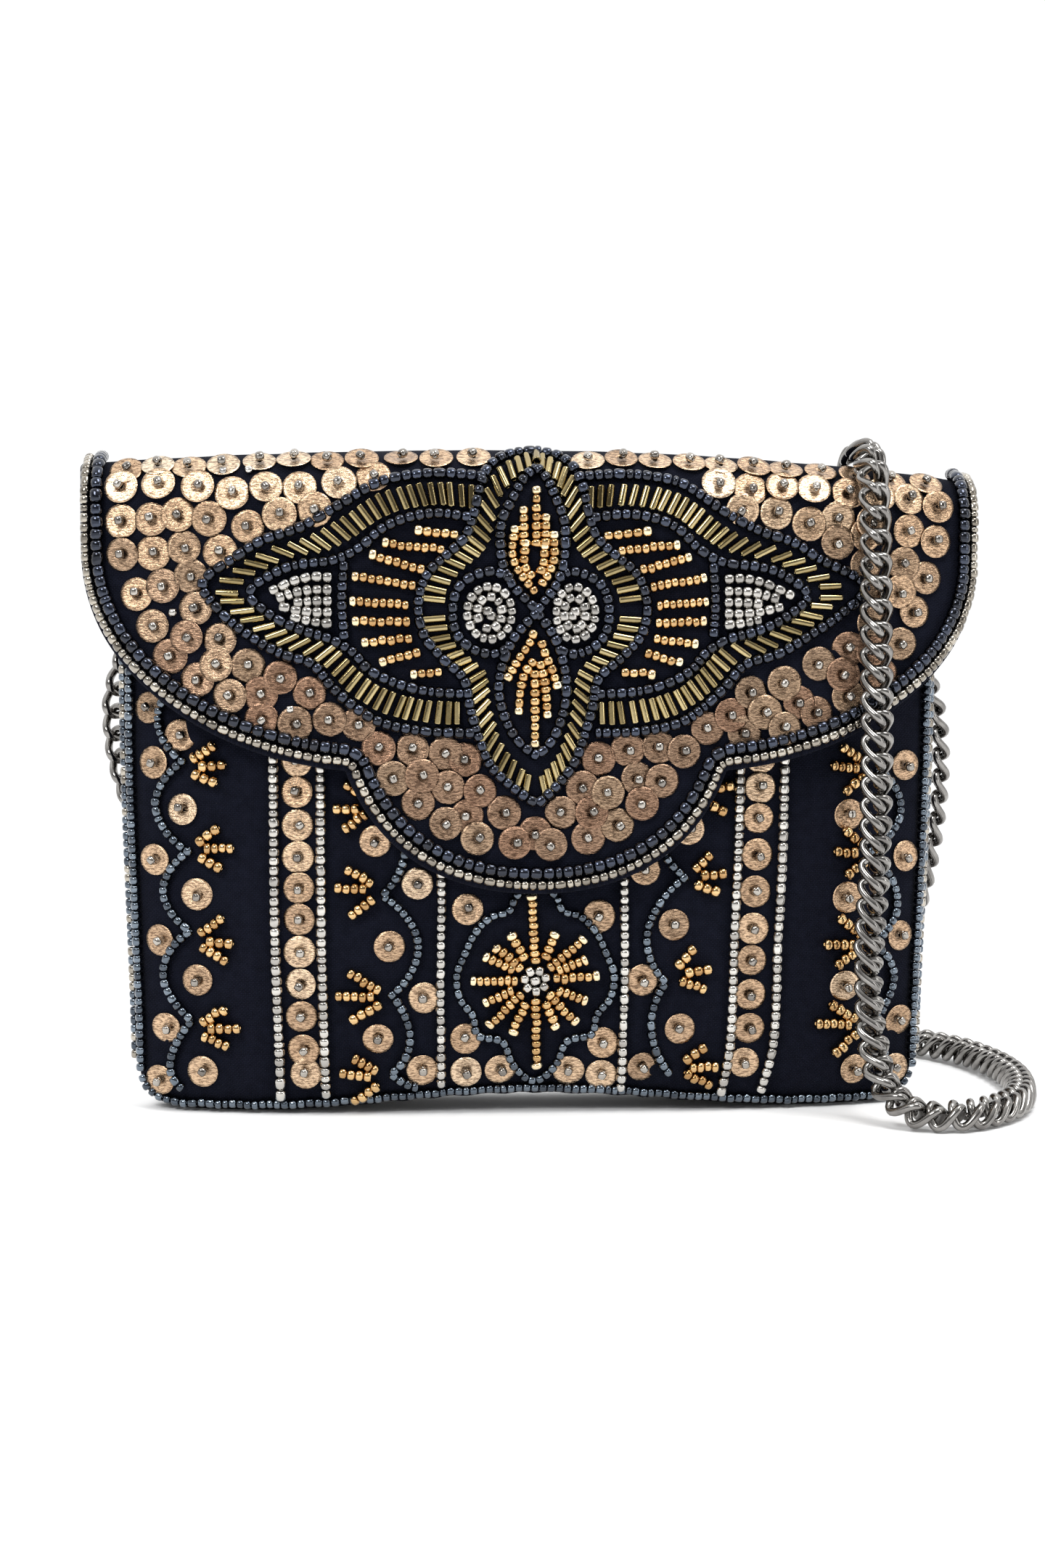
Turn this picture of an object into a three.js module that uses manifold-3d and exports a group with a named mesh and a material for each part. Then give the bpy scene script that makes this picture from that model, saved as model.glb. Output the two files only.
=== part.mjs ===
// Beaded envelope clutch with a detachable chain strap.
// Millimetres, +Z up. The front faces -Y and the right end is +X.
// The origin is on the surface the bag stands on, under the middle of the bag without its chain.
import * as THREE from 'three';
import { mergeVertices } from 'three/addons/utils/BufferGeometryUtils.js';
import Module from 'manifold-3d';

const wasm = await Module();
wasm.setup();

// ---------------------------------------------------------------- driving dimensions

const BODY_HALF = 108; // half width of the body above the middle of its height
const BODY_HALF_BASE = 105.5; // half width just above the rounded bottom corners
const BASE_CORNER = 10; // radius of the bottom corners seen from the front
const ARCH_RISE = 4.5; // the bottom edge lifts this much between its two corner lands
const ARCH_HALF = 78; // half span of that lift
const SEAM_Y = 3.91; // plane of the side seams
const SEAM_GAP = 0.3; // gap between the front and the back half along that plane

const CANVAS = 1.0; // thickness of the outer fabric
const FOAM = 1.6; // thickness of the body's padding
const LINING = 0.5; // thickness of the lining
const FLAP_BOARD = 0.8; // thickness of the flap's stiffener
const LAYER_GAP = 0.3; // gap between layers that lie on each other

const FLAP_HALF = 120; // half width of the flap
const TOP_CENTRE_Y = 3; // the top of the fold lies this far behind the side seams' plane
const FRONT_FOLD = { z: 160, depth: 23.5, rise: 18 }; // quarter ellipse from the fold's top to the front
const BACK_FOLD = { z: 171, depth: 6.6, rise: 7 }; // quarter ellipse from the fold's top to the back
const END_DROOP = 4.3; // the top drops this much towards the two ends

const BEAD = 2.2; // height of the seed bead work above the fabric
const SEQUIN = 1.2; // height of the sequin work above the fabric
const SNAP_HEIGHT = 80; // height of the magnetic snap
const SNAP_STAND = 0.5; // clearance of the snap's two halves over the slightly curved fabric
const SNAP_ROOM = 0.8; // clearance round each snap washer, where the layers are cut out for it
const SOCKET_WASHER = 6.4; // radius of the washer behind the front panel
const STUD_WASHER = 6; // radius of the washer inside the flap
const TAB_X = 108; // middle of each ring tab, left and right
const BAR_Z = 161; // height of each D ring's straight bar
const BAR_BACK = 10.4; // each bar's distance behind the side seams' plane
const CHAIN_WIDTH = 8.4; // width of the curb chain

// Height and depth of the body's outer surface on the middle line, from the bottom seam up.
const FRONT_ROWS = [
  [0, 0], [0, 11], [2.2, 14], [8, 16.5], [22, 18.3], [45, 19.4],
  [70, 19.2], [95, 18], [120, 16.4], [142, 14.6], [158, 13],
];
const BACK_ROWS = [
  [0, 0], [0, 9.5], [2.6, 12], [9, 13], [40, 13.2], [80, 13],
  [120, 12.3], [150, 11], [164, 10.3], [172, 9.5],
];
// The same for the outside of the closed flap below the fold.
const FLAP_ROWS = [[148, 20.8], [128, 22.2], [108, 23.4], [90, 24.4], [73, 25.2], [57, 25.5]];

// ---------------------------------------------------------------- materials

const LOOKS = {
  canvas: [0x12131f, 0.95, 0],
  lining: [0x1b1c26, 0.7, 0],
  foam: [0x8d8a84, 1, 0],
  board: [0x6f6a60, 0.9, 0],
  navyBeads: [0x252d47, 0.25, 0.7],
  steelBeads: [0x566f88, 0.25, 0.6],
  pewterBeads: [0x9c9484, 0.3, 0.8],
  silverBeads: [0xc4bdb4, 0.25, 0.8],
  goldBeads: [0xd6a560, 0.28, 0.8],
  sequins: [0xb48c66, 0.35, 0.7],
  gunmetal: [0x4c4846, 0.22, 1],
  nickel: [0xa9a9ad, 0.3, 1],
  magnet: [0x3a3a3c, 0.5, 0.6],
};

function look(name) {
  const [color, roughness, metalness] = LOOKS[name];
  return new THREE.MeshStandardMaterial({ color, roughness, metalness, name });
}

const clutch = new THREE.Group();
clutch.name = 'clutch_purse';

function add(name, geometry, material) {
  const mesh = new THREE.Mesh(geometry, look(material));
  mesh.name = name;
  clutch.add(mesh);
  return mesh;
}

// ---------------------------------------------------------------- solids and booleans

function solidOf(geometry) {
  const bare = geometry.clone();
  bare.deleteAttribute('normal');
  bare.deleteAttribute('uv');
  const merged = mergeVertices(bare, 1e-4);
  return new wasm.Manifold(new wasm.Mesh({
    numProp: 3,
    vertProperties: merged.attributes.position.array,
    triVerts: new Uint32Array(merged.index.array),
  }));
}

function geometryOf(solid) {
  const made = solid.getMesh();
  const geometry = new THREE.BufferGeometry();
  geometry.setAttribute('position', new THREE.BufferAttribute(made.vertProperties, 3));
  geometry.setIndex(new THREE.BufferAttribute(made.triVerts, 1));
  geometry.computeVertexNormals();
  return geometry;
}

function common(a, b) {
  return geometryOf(solidOf(a).intersect(solidOf(b)));
}

function cut(a, b) {
  return geometryOf(solidOf(a).subtract(solidOf(b)));
}

function join(...parts) {
  return geometryOf(parts.map(solidOf).reduce((sum, part) => sum.add(part)));
}

// A closed solid between two grids of points. pointAt(column, row, side) is on the outside of the
// layer for side 0 and on its inside for side 1.
function layer(columns, rows, pointAt) {
  const position = [];
  const index = [];
  const at = (column, row, side) => (side * (rows + 1) + row) * (columns + 1) + column;
  for (const side of [0, 1]) {
    for (let row = 0; row <= rows; row += 1) {
      for (let column = 0; column <= columns; column += 1) {
        position.push(...pointAt(column, row, side));
      }
    }
  }
  const quad = (a, b, c, d) => index.push(a, b, c, a, c, d);
  for (let row = 0; row < rows; row += 1) {
    for (let column = 0; column < columns; column += 1) {
      const next = column + 1;
      quad(at(column, row, 0), at(next, row, 0), at(next, row + 1, 0), at(column, row + 1, 0));
      quad(at(column, row, 1), at(column, row + 1, 1), at(next, row + 1, 1), at(next, row, 1));
    }
    quad(at(0, row, 0), at(0, row + 1, 0), at(0, row + 1, 1), at(0, row, 1));
    quad(at(columns, row, 0), at(columns, row, 1), at(columns, row + 1, 1), at(columns, row + 1, 0));
  }
  for (let column = 0; column < columns; column += 1) {
    const next = column + 1;
    quad(at(column, 0, 0), at(column, 0, 1), at(next, 0, 1), at(next, 0, 0));
    quad(at(column, rows, 0), at(next, rows, 0), at(next, rows, 1), at(column, rows, 1));
  }
  const geometry = new THREE.BufferGeometry();
  geometry.setAttribute('position', new THREE.Float32BufferAttribute(position, 3));
  geometry.setIndex(index);
  geometry.computeVertexNormals();
  return geometry;
}

// An outline in the XZ plane, carried through the whole depth of the bag's front.
function prism(outline) {
  const depth = 80;
  const shape = new THREE.Shape(outline);
  const geometry = new THREE.ExtrudeGeometry(shape, { depth, bevelEnabled: false });
  geometry.rotateX(Math.PI / 2);
  geometry.translate(0, 12, 0);
  return geometry;
}

function polygon(radius, sides) {
  const turn = (2 * Math.PI) / sides;
  const corners = Array.from({ length: sides }, (_, i) => (
    new THREE.Vector2(radius * Math.cos(i * turn), radius * Math.sin(i * turn))
  ));
  return new THREE.Shape(corners);
}

function tube(points, radius, sides, steps) {
  const extrudePath = new THREE.CatmullRomCurve3(points, false, 'centripetal');
  return new THREE.ExtrudeGeometry(polygon(radius, sides), { steps, extrudePath, bevelEnabled: false });
}

// ---------------------------------------------------------------- body surfaces

const clamp = THREE.MathUtils.clamp;
const smooth = THREE.MathUtils.smoothstep;

function bodyHalfAt(z) {
  const corner = clamp(BASE_CORNER - z, 0, BASE_CORNER);
  const rounding = BASE_CORNER - Math.sqrt(BASE_CORNER ** 2 - corner ** 2);
  const flare = (BODY_HALF - BODY_HALF_BASE) * smooth(z, 0, 110);
  return BODY_HALF_BASE + flare - rounding;
}

// How full the body is at a share of its half width: 1 in the middle, 0 at the side seam.
function fullness(share) {
  return Math.sqrt(Math.max(0, 1 - Math.abs(share) ** 3));
}

function archAt(x, z) {
  if (Math.abs(x) >= ARCH_HALF) return 0;
  return ARCH_RISE * Math.cos((Math.PI * x) / (2 * ARCH_HALF)) ** 2 * (1 - smooth(z, 0, 45));
}

function droopAt(x, z) {
  return END_DROOP * (x / FLAP_HALF) ** 2 * smooth(z, 100, 160);
}

// Unit normals of a profile of [height, depth] rows, pointing out of the body.
function profileNormals(rows) {
  return rows.map((row, i) => {
    if (i === 0 && rows[1][0] === row[0]) return { z: -1, depth: 0 };
    const before = rows[Math.max(i - 1, 0)];
    const after = rows[Math.min(i + 1, rows.length - 1)];
    const rise = after[0] - before[0];
    const run = after[1] - before[1];
    const length = Math.hypot(rise, run);
    return { z: -run / length, depth: rise / length };
  });
}

// One layer of the front half (side -1) or of the back half (side 1) of the body.
// inset is how far its outer face lies inside the body's outer surface.
function bodyLayer(side, rows, inset, thickness, columns = 14) {
  const normals = profileNormals(rows);
  return layer(columns, rows.length - 1, (column, row, face) => {
    const depthIn = inset + face * thickness;
    const [z, depth] = rows[row];
    const normal = normals[row];
    const share = Math.sin((Math.PI / 2) * ((2 * column) / columns - 1)) * -side;
    const x = (bodyHalfAt(z) - depthIn) * share;
    const innerDepth = Math.max(0, depth - normal.depth * depthIn) * fullness(share);
    const innerZ = z - normal.z * depthIn;
    const y = SEAM_Y + side * (SEAM_GAP / 2 + innerDepth);
    return [x, y, innerZ + archAt(x, z) - droopAt(x, z)];
  });
}

function depthAt(rows, z) {
  const above = Math.max(1, rows.findIndex((row, i) => i > 1 && row[0] >= z));
  const [z0, d0] = rows[above - 1];
  const [z1, d1] = rows[above];
  return d0 + (d1 - d0) * clamp((z - z0) / (z1 - z0), 0, 1);
}

// A point that stands `lift` off the body's front at a place (x, z) of its front view.
function onFront(x, z, lift) {
  const place = (px, pz) => {
    const depth = depthAt(FRONT_ROWS, pz) * fullness(px / bodyHalfAt(pz));
    return new THREE.Vector3(px, SEAM_Y - depth, pz + archAt(px, pz));
  };
  const here = place(x, z);
  const step = 0.5;
  const along = place(x - Math.sign(x || 1) * step, z).sub(here);
  const up = place(x, z + step).sub(here);
  const normal = along.cross(up).normalize();
  if (normal.y > 0) normal.negate();
  return here.addScaledVector(normal, lift);
}

// ---------------------------------------------------------------- flap surfaces

// Depth in front of the side seams' plane, and height, of the fold's outer surface.
function foldPoint(degrees) {
  const angle = THREE.MathUtils.degToRad(degrees);
  const part = degrees > 90 ? BACK_FOLD : FRONT_FOLD;
  const depth = -TOP_CENTRE_Y + part.depth * Math.cos(angle);
  return [part.z + part.rise * Math.sin(angle), depth];
}

// Degrees round the fold, from the front to the back: the flap's own share, then the spine's.
const FLAP_FOLD_ANGLES = [0, 12, 24, 34, 42];
const SPINE_ANGLES = [48, 60, 74, 90, 110, 128];
const SPINE_ROWS = SPINE_ANGLES.map(foldPoint);
const FLAP_PROFILE = [...FLAP_ROWS].reverse().concat(FLAP_FOLD_ANGLES.map(foldPoint));

// How far the cover's depth is kept towards its ends, where it still has a quarter of it.
const END_DEPTH_SHARE = 0.25;
const COVER_FADE_HALF = FLAP_HALF + 4;

function coverFullness(x) {
  return END_DEPTH_SHARE + (1 - END_DEPTH_SHARE) * fullness(x / COVER_FADE_HALF);
}

function coverLayer(rows, inset, thickness, half = FLAP_HALF, columns = 16) {
  const normals = profileNormals(rows);
  return layer(columns, rows.length - 1, (column, row, face) => {
    const depthIn = inset + face * thickness;
    const [z, depth] = rows[row];
    const normal = normals[row];
    const x = half * Math.sin((Math.PI / 2) * ((2 * column) / columns - 1));
    const y = SEAM_Y - (depth * coverFullness(x) - normal.depth * depthIn);
    return [x, y, z - normal.z * depthIn - droopAt(x, z)];
  });
}

// A point that stands `lift` off the closed flap at a place (x, z) of its front view.
function onFlap(x, z, lift) {
  const rows = FLAP_PROFILE;
  const above = Math.max(1, rows.findIndex((row) => row[0] >= z));
  const [z0, d0] = rows[above - 1];
  const [z1, d1] = rows[above];
  const depth = d0 + ((d1 - d0) * (z - z0)) / (z1 - z0);
  const slope = (d1 - d0) / (z1 - z0);
  const step = 0.5 * Math.sign(x || 1);
  const fall = (depth * (coverFullness(x) - coverFullness(x + step))) / step;
  const normal = new THREE.Vector3(fall, -1, -slope).normalize();
  const here = new THREE.Vector3(x, SEAM_Y - depth * coverFullness(x), z - droopAt(x, z));
  return here.addScaledVector(normal, lift);
}

// ---------------------------------------------------------------- outlines in the front view

// Right half of the flap's edge: the straight end, the shallow side scallop, then the middle lobe.
const FLAP_TOP_Z = 185;
const SIDE_SCALLOP = new THREE.CubicBezierCurve(
  new THREE.Vector2(119.6, 150),
  new THREE.Vector2(118, 116),
  new THREE.Vector2(86, 96),
  new THREE.Vector2(49.5, 93.3),
);
const MIDDLE_LOBE = new THREE.CubicBezierCurve(
  new THREE.Vector2(49.5, 93.3),
  new THREE.Vector2(41, 70),
  new THREE.Vector2(22, 61),
  new THREE.Vector2(0, 61),
);

function mirrored(rightHalf) {
  const left = rightHalf.slice(0, -1).reverse().map((p) => new THREE.Vector2(-p.x, p.y));
  return rightHalf.concat(left);
}

function flapEdge() {
  return mirrored([
    new THREE.Vector2(FLAP_HALF - 0.05, FLAP_TOP_Z),
    ...SIDE_SCALLOP.getPoints(10),
    ...MIDDLE_LOBE.getPoints(8).slice(1),
  ]);
}

// The flap's edge moved inwards, as open points from one straight end to the other.
function flapEdgeInset(distance) {
  const edge = flapEdge();
  return edge.map((p, i) => {
    const before = edge[Math.max(i - 1, 0)];
    const after = edge[Math.min(i + 1, edge.length - 1)];
    const along = after.clone().sub(before).normalize();
    const inwards = new THREE.Vector2(along.y, -along.x).multiplyScalar(distance);
    return p.clone().add(inwards);
  });
}

// Half outline of the medallion: the tall pointed centre, then the long eye-shaped wing.
const MEDALLION_HALF = [
  [0, 168], [12, 168], [20, 167], [36, 166], [46, 164.5], [54, 160], [66, 154.5], [80, 149], [88.5, 142],
  [84, 134], [75, 127], [62, 120.5], [56, 117], [50, 110], [41, 104], [30, 101.5], [19, 101], [13, 93],
  [6.5, 87], [0, 82.5],
].map(([x, z]) => new THREE.Vector2(x, z));

// ---------------------------------------------------------------- body

const layersIn = {
  canvas: 0,
  foam: CANVAS + LAYER_GAP,
  lining: CANVAS + FOAM + 2 * LAYER_GAP,
};

// Room for a snap washer: a short cylinder along Y at the snap's height.
function upright(radius, y) {
  const depth = 12;
  const geometry = new THREE.CylinderGeometry(radius, radius, depth, 16);
  geometry.translate(0, y, SNAP_HEIGHT);
  return geometry;
}

function buildBody() {
  add('front_panel', bodyLayer(-1, FRONT_ROWS, layersIn.canvas, CANVAS), 'canvas');
  add('back_panel', bodyLayer(1, BACK_ROWS, layersIn.canvas, CANVAS), 'canvas');
  const washerRoom = upright(SOCKET_WASHER + SNAP_ROOM, SEAM_Y - 18);
  const frontFoam = bodyLayer(-1, FRONT_ROWS, layersIn.foam, FOAM);
  add('front_padding', cut(frontFoam, washerRoom), 'foam');
  add('back_padding', bodyLayer(1, BACK_ROWS, layersIn.foam, FOAM), 'foam');
  add('front_lining', bodyLayer(-1, FRONT_ROWS, layersIn.lining, LINING), 'lining');
  add('back_lining', bodyLayer(1, BACK_ROWS, layersIn.lining, LINING), 'lining');
}

// ---------------------------------------------------------------- flap and the fold over the top

const FLAP_BOARD_IN = CANVAS + LAYER_GAP;
const FLAP_LINING_IN = FLAP_BOARD_IN + FLAP_BOARD + LAYER_GAP;
const FLAP_THICKNESS = FLAP_LINING_IN + LINING;

function buildFlap() {
  const edge = prism(flapEdge());
  const boardEdge = prism(flapEdgeInset(4));
  const washerRoom = upright(STUD_WASHER + SNAP_ROOM, SEAM_Y - 24);
  add('flap_cover', common(coverLayer(FLAP_PROFILE, 0, CANVAS), edge), 'canvas');
  const board = common(coverLayer(FLAP_PROFILE, FLAP_BOARD_IN, FLAP_BOARD), boardEdge);
  add('flap_board', cut(board, washerRoom), 'board');
  add('flap_lining', common(coverLayer(FLAP_PROFILE, FLAP_LINING_IN, LINING), edge), 'lining');
  add('fold_cover', coverLayer(SPINE_ROWS, 0, CANVAS), 'canvas');
  add('fold_board', coverLayer(SPINE_ROWS, FLAP_BOARD_IN, FLAP_BOARD, FLAP_HALF - 4), 'board');
  add('fold_lining', coverLayer(SPINE_ROWS, FLAP_LINING_IN, LINING), 'lining');
}

// ---------------------------------------------------------------- bead work on the flap

// Distances of the two bead rows and of the sequins from the flap's edge.
const OUTER_ROW = 3.6;
const INNER_ROW = 6.8;
const SEQUIN_MARGIN = 9.5;
const ROW_TOP_Z = 164;

function flapBeadRow(name, inset, material) {
  const radius = BEAD / 2;
  const lift = radius + 0.5; // clear of the flap's facets
  const points = flapEdgeInset(inset).map((p) => onFlap(p.x, Math.min(p.y, ROW_TOP_Z), lift));
  add(name, tube(points, radius, 5, 52), material);
}

function buildFlapBeads() {
  flapBeadRow('flap_edge_beads_outer', OUTER_ROW, 'pewterBeads');
  flapBeadRow('flap_edge_beads_inner', INNER_ROW, 'navyBeads');
  const medallion = mirrored(MEDALLION_HALF);
  const beadBand = coverLayer(FLAP_PROFILE, -LAYER_GAP - BEAD, BEAD);
  add('flap_medallion', common(beadBand, prism(medallion)), 'navyBeads');
  const sequinBand = coverLayer(FLAP_PROFILE, -LAYER_GAP - SEQUIN, SEQUIN);
  const margin = 1.06;
  const middle = new THREE.Vector2(0, 130);
  const around = medallion.map((p) => p.clone().sub(middle).multiplyScalar(margin).add(middle));
  const field = prism(flapEdgeInset(SEQUIN_MARGIN));
  add('flap_sequins', geometryOf(
    solidOf(sequinBand).intersect(solidOf(field)).subtract(solidOf(prism(around))),
  ), 'sequins');
}

// ---------------------------------------------------------------- bead work on the body

const PANEL_TOP = 88; // the front panel's bead work runs up to just under the flap's edge
const PANEL_FOOT = 6;
const FACET_LIFT = 0.75; // keeps the straight tubes clear of the panel's facets

function bodyTube(name, places, material, radius = BEAD / 2, steps = 16) {
  const points = places.map(([x, z]) => onFront(x, z, radius + FACET_LIFT));
  add(name, tube(points, radius, 5, steps), material);
}

function buildPanelBeads() {
  const inset = 3;
  const left = [];
  for (let z = 138; z > BASE_CORNER + 4; z -= 20) {
    left.push([-(bodyHalfAt(z) - inset), z]);
  }
  const cornerX = BODY_HALF_BASE - BASE_CORNER;
  for (const degrees of [0, 30, 60, 88]) {
    const angle = THREE.MathUtils.degToRad(degrees);
    const radius = BASE_CORNER - inset;
    left.push([-cornerX - radius * Math.cos(angle), BASE_CORNER - radius * Math.sin(angle)]);
  }
  for (const x of [78, 60, 40, 20]) left.push([-x, inset]);
  const right = left.slice().reverse().map(([x, z]) => [-x, z]);
  bodyTube('front_edge_beads', [...left, [0, inset], ...right], 'steelBeads', BEAD / 2, 50);

  for (const [name, side] of [['left', -1], ['right', 1]]) {
    const seam = [14, 45, 80, 115, 145].map((z) => (
      new THREE.Vector3(side * (bodyHalfAt(z) + 1.6), SEAM_Y, z - droopAt(BODY_HALF, z))
    ));
    add(`seam_beads_${name}`, tube(seam, BEAD / 2, 6, 10), 'pewterBeads');
  }

  // Two straight silver columns with a column of sequins between them, near each end.
  for (const [name, side] of [['left', -1], ['right', 1]]) {
    const outer = { top: 68.5, foot: 66 };
    const inner = { top: 57, foot: 55.5 };
    for (const [which, column] of [['outer', outer], ['inner', inner]]) {
      const places = [PANEL_TOP, 60, 32, PANEL_FOOT].map((z) => {
        const share = (z - PANEL_FOOT) / (PANEL_TOP - PANEL_FOOT);
        return [side * (column.foot + (column.top - column.foot) * share), z];
      });
      bodyTube(`ladder_beads_${name}_${which}`, places, 'silverBeads', BEAD / 2, 8);
    }
    const centreColumn = [58, 44, 24, PANEL_FOOT].map((z) => [side * 24.5, z]);
    bodyTube(`star_column_${name}`, centreColumn, 'silverBeads', BEAD / 2, 6);
  }

  // Four wavy vines of steel-blue beads.
  const vine = (name, middle, swing, top) => {
    const places = [];
    const pitch = 23;
    const step = pitch / 4;
    for (let z = PANEL_FOOT + 2; z <= top; z += step) {
      places.push([middle + swing * Math.cos((2 * Math.PI * (z - 12)) / pitch), z]);
    }
    bodyTube(name, places, 'steelBeads', BEAD / 2, 20);
  };
  vine('vine_left_outer', -96.5, 3, 84);
  vine('vine_right_outer', 96.5, -3, 84);
  vine('vine_left_inner', -37, 3.4, 66);
  vine('vine_right_inner', 37, -3.4, 66);

  const star = Array.from({ length: 24 }, (_, i) => {
    const angle = (i * Math.PI) / 12;
    return new THREE.Vector2(19.5 * Math.cos(angle), 33.5 + 21 * Math.sin(angle));
  });
  const band = bodyLayer(-1, FRONT_ROWS.slice(2, 8), -LAYER_GAP - BEAD, BEAD);
  add('panel_star', common(band, prism(star)), 'goldBeads');
}

// ---------------------------------------------------------------- magnetic snap

// A turned piece whose axis is Y: profile points are [radius, distance towards the front].
function turned(profile, y, z) {
  const geometry = new THREE.LatheGeometry(profile.map(([r, h]) => new THREE.Vector2(r, h)), 16);
  geometry.scale(1, -1, 1);
  const index = geometry.index.array;
  for (let i = 0; i < index.length; i += 3) {
    [index[i + 1], index[i + 2]] = [index[i + 2], index[i + 1]];
  }
  geometry.translate(0, y, z);
  return geometry;
}

function buildSnap() {
  const panelY = SEAM_Y - SEAM_GAP / 2 - depthAt(FRONT_ROWS, SNAP_HEIGHT);
  const flapY = onFlap(0, SNAP_HEIGHT, -FLAP_THICKNESS).y;
  const socketY = panelY - SNAP_STAND;
  add('snap_socket', turned([
    [0, 0], [6.8, 0], [6.8, 1.7], [6.1, 1.7], [6.1, 0.45], [0, 0.45],
  ], socketY, SNAP_HEIGHT), 'nickel');
  add('snap_magnet', turned([
    [3.1, 0.75], [5.8, 0.75], [5.8, 1.55], [3.1, 1.55], [3.1, 0.75],
  ], socketY, SNAP_HEIGHT), 'magnet');
  add('snap_stud', turned([
    [0, -1.6], [2.2, -1.6], [2.4, -1.4], [2.4, -0.4], [6.2, -0.4], [6.2, 0], [0, 0],
  ], flapY + SNAP_STAND, SNAP_HEIGHT), 'nickel');
  add('snap_socket_washer', turned([
    [0, 0], [SOCKET_WASHER, 0], [SOCKET_WASHER, 0.6], [0, 0.6],
  ], panelY + CANVAS + LAYER_GAP + 0.8, SNAP_HEIGHT), 'nickel');
  add('snap_stud_washer', turned([
    [0, 0], [STUD_WASHER, 0], [STUD_WASHER, 0.5], [0, 0.5],
  ], flapY - LINING - LAYER_GAP, SNAP_HEIGHT), 'nickel');
}

// ---------------------------------------------------------------- ring tabs, D rings and clasps

const RING = { radius: 6.2, wire: 1.1, bar: 3.4, tilt: THREE.MathUtils.degToRad(25) };
const HOOK = {
  halfDepth: 4.8, halfHeight: 8.5, wire: 1.2, gapFrom: 39, gapTo: -54, gateFrom: 25, gateTo: -40,
};

// D ring about its own middle: a round bow below and a straight bar above, in the XZ plane.
function ringGeometry() {
  const geometry = new THREE.TorusGeometry(RING.radius, RING.wire, 6, 18);
  const position = geometry.attributes.position;
  for (let i = 0; i < position.count; i += 1) {
    const x = position.getX(i);
    const y = position.getY(i);
    const length = Math.hypot(x, y);
    const centreY = (RING.radius * y) / length;
    position.setY(i, Math.min(centreY, RING.bar) + (y - centreY));
  }
  geometry.rotateX(Math.PI / 2);
  return geometry;
}

// The tab's section: a sewn plate, a short neck and a loop round the D ring's bar.
function tabGeometry(reach) {
  const width = 7.4;
  const plate = { thickness: 1.4, half: 6 };
  const loop = { outer: 3.2, inner: 2.0, neck: 1.6 };
  const open = Math.asin(loop.neck / loop.outer);
  const neckEnd = reach - loop.outer * Math.cos(open);
  const shape = new THREE.Shape();
  shape.moveTo(0, -plate.half);
  shape.lineTo(plate.thickness, -plate.half);
  shape.lineTo(plate.thickness, -loop.neck);
  shape.lineTo(neckEnd, -loop.neck);
  shape.absarc(reach, 0, loop.outer, -(Math.PI - open), Math.PI - open, false);
  shape.lineTo(plate.thickness, loop.neck);
  shape.lineTo(plate.thickness, plate.half);
  shape.lineTo(0, plate.half);
  shape.closePath();
  const hole = new THREE.Path();
  hole.absarc(reach, 0, loop.inner, 0, 2 * Math.PI, true);
  shape.holes.push(hole);
  const geometry = new THREE.ExtrudeGeometry(shape, { depth: width, bevelEnabled: false, curveSegments: 8 });
  geometry.translate(0, 0, -width / 2);
  // The section's first axis becomes +Y, its second +Z and its width X.
  const turn = new THREE.Matrix4().set(0, 0, 1, 0, 1, 0, 0, 0, 0, 1, 0, 0, 0, 0, 0, 1);
  geometry.applyMatrix4(turn);
  return geometry;
}

// The hook about the point where it hangs on the ring: an oval loop with a gap for its gate, and a
// headed stem below that turns in the eye's collar.
function hookGeometry() {
  const centreZ = -HOOK.halfHeight + HOOK.wire + RING.wire + 0.4;
  const points = [];
  const steps = 12;
  for (let i = 0; i <= steps; i += 1) {
    const degrees = HOOK.gapFrom + ((HOOK.gapTo + 360 - HOOK.gapFrom) * i) / steps;
    const angle = THREE.MathUtils.degToRad(degrees);
    points.push(new THREE.Vector3(
      0,
      HOOK.halfDepth * Math.cos(angle),
      centreZ + HOOK.halfHeight * Math.sin(angle),
    ));
  }
  const loop = tube(points, HOOK.wire, 6, 18);
  const bottom = centreZ - HOOK.halfHeight;
  const stem = new THREE.LatheGeometry([
    [0, -6.3], [1.9, -6.3], [1.9, -5.5], [1.15, -5.5], [1.15, 0.2], [0, 0.2],
  ].map(([r, h]) => new THREE.Vector2(r, h)), 10);
  stem.rotateX(Math.PI / 2);
  stem.translate(0, 0, bottom);
  return { geometry: join(loop, stem), centreZ, bottom };
}

// The gate closes the hook's gap on its back side.
function gateGeometry(centreZ) {
  const points = [0, 0.25, 0.5, 0.75, 1].map((share) => {
    const angle = THREE.MathUtils.degToRad(THREE.MathUtils.lerp(HOOK.gateFrom, HOOK.gateTo, share));
    return new THREE.Vector3(
      0,
      HOOK.halfDepth * Math.cos(angle),
      centreZ + HOOK.halfHeight * Math.sin(angle),
    );
  });
  return tube(points, 1.0, 6, 6);
}

// The eye: a collar round the hook's stem and a ring that holds the chain's end link.
function eyeGeometry(bottom) {
  const collarFrom = bottom - 4.1;
  const collar = new THREE.LatheGeometry([
    [1.55, 0], [2.9, 0], [2.9, 2.2], [1.55, 2.2], [1.55, 0],
  ].map(([r, h]) => new THREE.Vector2(r, h)), 12);
  collar.rotateX(Math.PI / 2);
  collar.translate(0, 0, collarFrom);
  const ring = { radius: 4.4, wire: 1.0 };
  const eye = new THREE.TorusGeometry(ring.radius, ring.wire, 6, 16);
  eye.rotateY(Math.PI / 2);
  eye.translate(0, 0, collarFrom - ring.radius + 0.6);
  const bore = new THREE.CylinderGeometry(1.55, 1.55, 6, 12);
  bore.rotateX(Math.PI / 2);
  bore.translate(0, 0, collarFrom);
  return cut(join(collar, eye), bore);
}

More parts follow.
